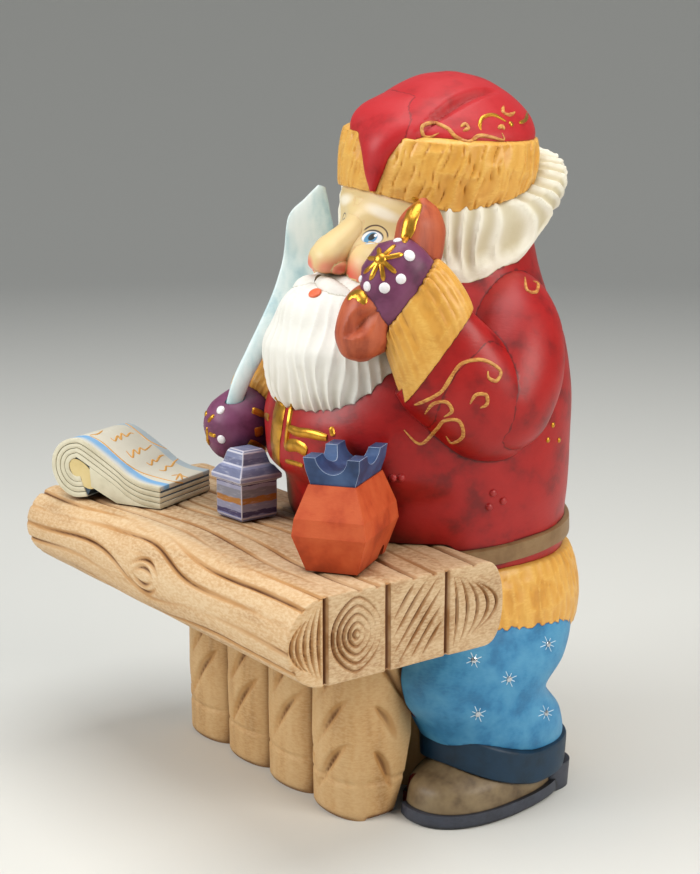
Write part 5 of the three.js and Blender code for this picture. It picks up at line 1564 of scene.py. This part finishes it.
def box_room():
    """The room that the ink box needs, with a gap all round."""
    eave = ink_box["side"] / 2 + ink_box["eave"] + fit_gap
    tip = ink_box["top"] / 2 + 0.7 + fit_gap
    levels = [(0, eave, eave), (ink_box["body"] + 0.3 * ink_box["roof"], eave, eave),
              (ink_box["body"] + ink_box["roof"] + fit_gap, tip, tip)]
    block = raised_levels("box_room", levels, box_paint)
    stood_on_table(block, *box_place)
    return block


quill = carved("carved_quill", quill_rows(), feather_paint, 48, 90, knife_worked(6.0, 0.1), side=quill_side)
boolean(quill, box_room(), "DIFFERENCE")
boolean(santa, box_room(), "DIFFERENCE")
print("quill", len(quill.data.vertices), "figure", len(santa.data.vertices))

# %% [markdown]
# The raised ornament is gesso that was trailed on with a fine tip and gilded: a star on the mitten,
# scrolls on hat, sleeve and shoulder, and the coat's braid. Small beads of white gloss paint and
# glass stones in white rays finish it. Each line is a path of pixels of the picture; sight lines
# carry it onto the carving, and a thin tapered strand is laid there, half sunk. The hidden side
# gets the scrolls too, laid on through a mirrored eye.

# %% Helpers for trailed lines and beads
# Gilding is metal leaf on gesso: bright, and browner where it is rubbed.
gilding, gilding_shader = new_finish("gilded_raised_lines", 0.3, metallic=0.85)
worn_gilding = mottle(gilding, 2.5, detail=4.0)
gilding.node_tree.links.new(
    blended(gilding, ramped(gilding, worn_gilding, 0.4, 0.75, 0.0, 0.55), "#D29A35", "#8F5A1C"),
    gilding_shader.inputs["Base Color"])
roughened(gilding, gilding_shader, worn_gilding, 0.1)
worn_red = painted_wood("worn_gold_on_red_raised_lines", "#9A1210", "#5E0605", "#D2A04C",
                        brush=0.95, coat=0.2)
# Gloss paint gives each bead one small highlight; silvered glass flashes facet by facet.
gloss_white = flecked("white_gloss_beads", "#F4F2F0", "#D9D6DC", 1.2, 0.25, coat=0.5)
pearl_red = painted_wood("red_gloss_beads", "#9A1210", "#9A1210", "#C0302C", coat=0.5, wash=0.0, brush=0.0)
glass = flecked("silvered_glass_stones", "#E6EAEE", "#8C949C", 0.6, 0.12, metallic=0.9)
mouth_paint = flecked("orange_red_mouth", "#D9552C", "#E8794C", 1.5, 0.5)
ray_white = painted_wood("pale_blue_painted_rays", "#B9D3E2", "#8FB6CC", "#DCE9F0", wash=0.0, coat=0.1)


def skin_of(piece):
    """A piece's faces, ready for sight lines to meet."""
    mesh = piece.data
    return BVHTree.FromPolygons([vertex.co for vertex in mesh.vertices],
                                [tuple(polygon.vertices) for polygon in mesh.polygons])


def seen_on(skin, pixel, mirrored=False):
    """Where a piece is seen at a pixel, in millimetres of the drawing, and which way it faces there."""
    eye, sight = camera.location.copy(), sight_line(*pixel)
    if mirrored:
        eye.x, sight.x = 2 * shift[0] * MM - eye.x, -sight.x
    hit, facing, _, _ = skin.ray_cast(eye, sight)
    return None if hit is None else (np.array(hit) / MM - shift, np.array(facing))


def trailed(skin, path, half_width, height, finish, blunt=0.3, mirrored=False):
    """A thin strand on a piece along a path of pixels, broken where the sight line jumps."""
    longest_step = 3.0
    seen = [found for found in (seen_on(skin, pixel, mirrored) for pixel in along_path(path, 10)) if found]
    runs, run = [], seen[:1]
    for before, here in zip(seen, seen[1:]):
        if np.linalg.norm(here[0] - before[0]) > longest_step:
            runs.append(run)
            run = []
        run.append(here)
    made = []
    for run in runs + [run]:
        if len(run) < 4:
            continue
        centre, facing = np.array([p for p, _ in run]), unit(np.array([n for _, n in run]))
        facing[1:-1] = unit(facing[:-2] + facing[1:-1] + facing[2:])
        across = unit(np.cross(np.gradient(centre, axis=0), facing))
        share = np.linspace(0, 1, len(run))
        swell = np.clip(blunt + (1 - blunt) * 5 * np.minimum(share, 1 - share), 0, 1)[:, None, None]
        turn = np.arange(8) / 8 * 2 * math.pi
        rings = (centre[:, None] + swell * (half_width * across[:, None] * np.cos(turn)[None, :, None]
                                            + height * facing[:, None] * np.sin(turn)[None, :, None]))
        made.append(rolled_skin("strand", rings, finish))
    return made


def bead(skin, pixel, radius, height, finish, mirrored=False, faceted=False):
    """A bead of paint, or a stone, on a piece at a pixel."""
    found = seen_on(skin, pixel, mirrored)
    if found is None:
        return []
    bpy.ops.object.select_all(action="DESELECT")
    if faceted:
        bpy.ops.mesh.primitive_ico_sphere_add(subdivisions=1, radius=1.0)
    else:
        bpy.ops.mesh.primitive_uv_sphere_add(segments=16, ring_count=8, radius=1.0)
    made = bpy.context.object
    turn = Vector(found[1]).to_track_quat("Z", "Y").to_matrix().to_4x4()
    size = Matrix.Diagonal((radius * MM, radius * MM, height * MM, 1.0))
    made.data.transform(Matrix.Translation(to_frame(found[0])) @ turn @ size)
    made.data.materials.append(finish)
    return [made]


# %% [markdown]
# Now each line, bead and stone at its place. The points are pixels of the picture, given one by one.

# %% Star, braid and scrolls
skin = skin_of(santa)
ornament = []
star_centre = (380.5, 259)
star_tips = [(378.5, 248), (395, 245), (403, 254), (396, 273), (383.5, 281), (370, 280), (364, 273),
             (368, 258)]
star_beads = [((397.5, 240.5), 1.3), ((409.5, 255.5), 1.7), ((401, 279), 1.5), ((384.5, 288), 1.6),
              ((367, 286.5), 1.5), ((361, 279), 1.1)]
for tip in star_tips:
    middle = ((star_centre[0] + tip[0]) / 2, (star_centre[1] + tip[1]) / 2)
    ornament += trailed(skin, [star_centre, middle, tip], 0.75, 0.6, gilding, blunt=0.45)
ornament += bead(skin, star_centre, 1.9, 1.0, gilding)
for spot, radius in star_beads:
    ornament += bead(skin, spot, radius, 0.7, gloss_white)
far_mitten_beads = [(214, 394), (220.6, 410), (221.3, 439.4), (216, 460)]
for spot in far_mitten_beads:
    ornament += bead(skin, spot, 1.5, 0.6, gloss_white)
far_mitten = [
    [(209, 403), (206.6, 409), (206, 416)], [(208, 422), (211, 418), (214.4, 415)],
    [(207, 427), (208, 441), (212, 453)], [(209, 433), (212, 435), (216, 436)],
]
braid = [
    ([(280.6, 402), (277.5, 421), (275, 442), (277, 468)], 3.6, 0.5),
    ([(292, 405), (289.4, 421), (286.3, 444)], 0.9, 0.9),
    ([(288, 428), (297.5, 432), (309, 433.5), (327, 438)], 1.5, 0.8),
    ([(331, 427), (332, 431), (333, 436)], 0.9, 0.7),
    ([(285, 446), (296, 445.5), (307, 452)], 2.0, 0.6),
    ([(286, 461), (294, 463), (303, 466)], 0.8, 0.5),
    ([(252, 410), (260, 413), (269, 418)], 1.2, 0.4),
    ([(258.6, 427), (259, 431), (259.4, 436)], 1.8, 0.3),
    ([(249, 442), (257, 446), (266, 452)], 1.3, 0.4),
]
horn_gold = [
    [(404.5, 243), (407, 226), (412, 210), (417.5, 198)],
    [(409, 238), (411, 224), (416, 210), (418, 201)],
    [(414, 214), (416, 208), (418.5, 203)],
]
cup_gold = [(348, 300), (353, 294), (360, 295), (365, 304)]
mouth = (315, 293)
for path in far_mitten:
    ornament += trailed(skin, path, 0.7, 0.5, gilding)
for path, half_width, height in braid:
    ornament += trailed(skin, path, half_width, height, gilding, blunt=0.7)
for path in horn_gold:
    ornament += trailed(skin, path, 1.5, 0.45, gilding, blunt=0.3)
ornament += trailed(skin, cup_gold, 1.6, 0.4, gilding)
ornament += bead(skin, mouth, 2.1, 0.7, mouth_paint)
hat_scrolls = [
    [(439, 133), (430, 137), (423.6, 135.7), (422, 127), (428, 123.5), (435, 123), (448, 128.6), (456, 137),
     (469, 141.5), (479, 135.7), (491, 137), (503.6, 140), (502, 133)],
    [(480.7, 130), (480, 123), (483.6, 117), (493.6, 115), (506, 121.5)],
    [(519, 123), (526, 119), (526, 107), (518, 95.7), (506, 87)],
    [(503.6, 106), (503, 112), (509, 115), (515, 112)], [(460.7, 127), (465, 124), (468, 128), (463, 131)],
    [(498, 128.6), (502, 126), (504, 130)],
]
sleeve_scrolls = [
    [(441, 391), (452, 375), (463, 363), (483, 360), (500, 370), (497, 380.5), (489, 378), (488, 371)],
    [(414, 405), (425, 401), (442, 391), (456, 370)],
    [(404, 430), (420, 444), (436, 430), (444, 421), (459, 421), (463, 436), (452, 443), (446, 436)],
    [(425, 414), (433, 404), (446, 402), (452, 411), (444, 417)],
    [(470, 404), (476, 395), (486, 395), (487, 404), (480, 408)],
    [(525, 277), (527, 290), (536, 292), (538, 284), (533, 281)], [(541, 264), (546, 280), (552, 289)],
]
gold_dots = [(553, 425), (548, 440), (559, 440), (511, 124)]
coat_beads = [(393, 478), (401, 478), (493, 493), (503, 501), (489, 507)]
stones = [(474, 660), (509, 679), (548, 644), (478, 714), (546, 713)]
for mirrored in (False, True):
    lift = 15 if mirrored else 0
    for number, path in enumerate(hat_scrolls):
        ornament += trailed(skin, [(across, down - lift) for across, down in path], 0.62, 0.5,
                            gilding if number in (1, 2) else worn_red, mirrored=mirrored)
    for path in sleeve_scrolls:
        ornament += trailed(skin, path, 0.55, 0.45, worn_red, mirrored=mirrored)
    for spot in gold_dots:
        ornament += bead(skin, spot, 0.9, 0.5, gilding, mirrored=mirrored)
for spot in coat_beads:
    ornament += bead(skin, spot, 1.2, 0.8, pearl_red)
for spot in stones:
    ornament += bead(skin, spot, 1.15, 0.8, glass, faceted=True)
    for turn in range(8):
        way = math.pi * (turn + 0.5) / 4
        reach = 8.5 if turn % 2 else 6.5
        tips = [(spot[0] + reach * part * math.cos(way), spot[1] + reach * part * math.sin(way))
                for part in (0.25, 0.6, 1.0)]
        ornament += trailed(skin, tips, 0.14, 0.12, ray_white)
print("strands and beads", len(ornament))

# %% [markdown]
# The list's lines are thin ochre paint with a little body, so they are trailed like the gold.
# They are squiggles and no letters.

# %% Writing and border lines on the list
list_skin = skin_of(listing)
border_lines = [
    [(90, 435.6), (102.5, 442.5), (115, 453.8), (127.5, 464.4), (140, 471.9), (155, 476.9), (171, 481),
     (183, 483)],
    [(105, 424.4), (117.5, 421.8), (127.5, 424.3), (137.5, 431.5), (150, 441.3), (165, 448.1),
     (184, 454.5), (208, 463)],
]
squiggles = [
    [(110.6, 438), (115, 441), (117.5, 436), (121, 439.5), (121.4, 433.5), (126.3, 436.4), (130, 433),
     (133.8, 433.8)],
    [(126.3, 451), (132.5, 457.5), (133.8, 450), (138.8, 453.8), (140, 448), (145, 450), (151.3, 445)],
    [(146.3, 462.5), (151.3, 465), (152.5, 460), (156.3, 461.3), (160, 456.3), (163.8, 455)],
    [(158.8, 470), (165, 470.6), (166.3, 466.3), (171.3, 466.3), (175, 461.3), (180, 458)],
    [(90, 435), (97.5, 434), (102.5, 430.6)], [(171.5, 475.6), (178.8, 475), (187.5, 477.5)],
    [(176, 480), (180, 473.8), (182.5, 480)], [(190, 463), (197.5, 462.5), (202.5, 467.5)],
    [(193.8, 460), (196, 463), (198.8, 466.3)],
]
ink_gold = flecked("ochre_painted_lines_on_list", "#C98A35", "#DDAA5C", 1.5, 0.5)
writing = []
for path in border_lines:
    writing += trailed(list_skin, path, 0.35, 0.14, ink_gold, blunt=0.6)
for path in squiggles:
    writing += trailed(list_skin, path, 0.4, 0.14, ink_gold, blunt=0.5)


def joined(parts, name):
    """Many strands as one piece."""
    bpy.ops.object.select_all(action="DESELECT")
    for part in parts:
        part.select_set(True)
    bpy.context.view_layer.objects.active = parts[0]
    bpy.ops.object.join()
    parts[0].name = name
    return parts[0]


raised_gold = joined(ornament, "raised_ornament")
list_lines = joined(writing, "lines_on_list")
print("ornament", len(raised_gold.data.polygons), "lines", len(list_lines.data.polygons))

# %% [markdown]
# Each piece rides on the frame's one body and stands for its solid.

# %% Pieces in the frame
whole_pieces = [
    (santa, "santa_figure", "figure_paint", 38), (table, "table_top", "table_wood", 40),
    (stand, "table_pedestal", "pedestal_wood", 40), (ink, "ink_box", "ink_box_paint", 20),
    (telephone, "telephone", "telephone_paint", 12), (listing, "list_scroll", "scroll_paint", 35),
    (quill, "quill", "quill_paint", 45), (raised_gold, "santa_figure", "figure_paint", 40),
    (list_lines, "list_scroll", "scroll_paint", 50),
]
for piece, node, slot_name, degrees in whole_pieces:
    select_only(piece)
    bpy.ops.object.shade_smooth_by_angle(angle=math.radians(degrees))
    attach(piece, "root")
    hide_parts(node)
print("pieces", [piece.name for piece, *_ in whole_pieces])

# %% [markdown]
# The studio: a pale floor, a soft grey world and three soft boxes.

# %% Floor and light
floor_paint, floor_shader = new_finish("matt_pale_floor_paint", 0.75)
floor_shader.inputs["Base Color"].default_value = linear("#D2D2CC")
bpy.ops.object.select_all(action="DESELECT")
bpy.ops.mesh.primitive_circle_add(vertices=96, radius=1.5, fill_type="NGON")
floor = bpy.context.object
floor.name = "floor"
bpy.ops.object.mode_set(mode="EDIT")
bpy.ops.mesh.select_all(action="SELECT")
sweep = [(1.5 + 1.3 * math.sin(turn), 1.3 * (1 - math.cos(turn)))
         for turn in np.linspace(0, math.radians(70), 13)]
for (radius, height), (next_radius, next_height) in zip(sweep, sweep[1:]):
    bpy.ops.mesh.extrude_region_move(TRANSFORM_OT_translate={"value": (0, 0, next_height - height)})
    bpy.ops.transform.resize(value=(next_radius / radius, next_radius / radius, 1), center_override=(0, 0, 0))
bpy.ops.mesh.delete(type="ONLY_FACE")
bpy.ops.mesh.select_all(action="DESELECT")
bpy.ops.object.mode_set(mode="OBJECT")
bpy.ops.object.shade_smooth()
floor.data.materials.append(floor_paint)

world = bpy.data.worlds.new("soft_studio")
world.use_nodes = True
world.node_tree.nodes["Background"].inputs["Color"].default_value = linear("#C9CDD2")
world.node_tree.nodes["Background"].inputs["Strength"].default_value = 0.4
bpy.context.scene.world = world
bpy.context.scene.view_settings.view_transform = "Standard"


def soft_box(name, place, aim, size, watts, colour):
    data = bpy.data.lights.new(name, "AREA")
    data.shape = "SQUARE"
    data.size = size
    data.energy = watts
    data.color = linear(colour)[:3]
    lamp = bpy.data.objects.new(name, data)
    bpy.context.scene.collection.objects.link(lamp)
    lamp.location = place
    lamp.rotation_euler = (Vector(aim) - Vector(place)).to_track_quat("-Z", "Y").to_euler()
    return lamp


middle = (0.0, 0.0, 0.11)
soft_box("left_box", (-0.25, -0.95, 0.65), middle, 0.6, 9.0, "#FFFFFF")
soft_box("right_box", (1.0, 0.35, 0.6), middle, 0.6, 8.5, "#FFF8F0")
soft_box("top_box", (0.1, 0.0, 1.1), middle, 0.8, 8.0, "#FFFFFF")
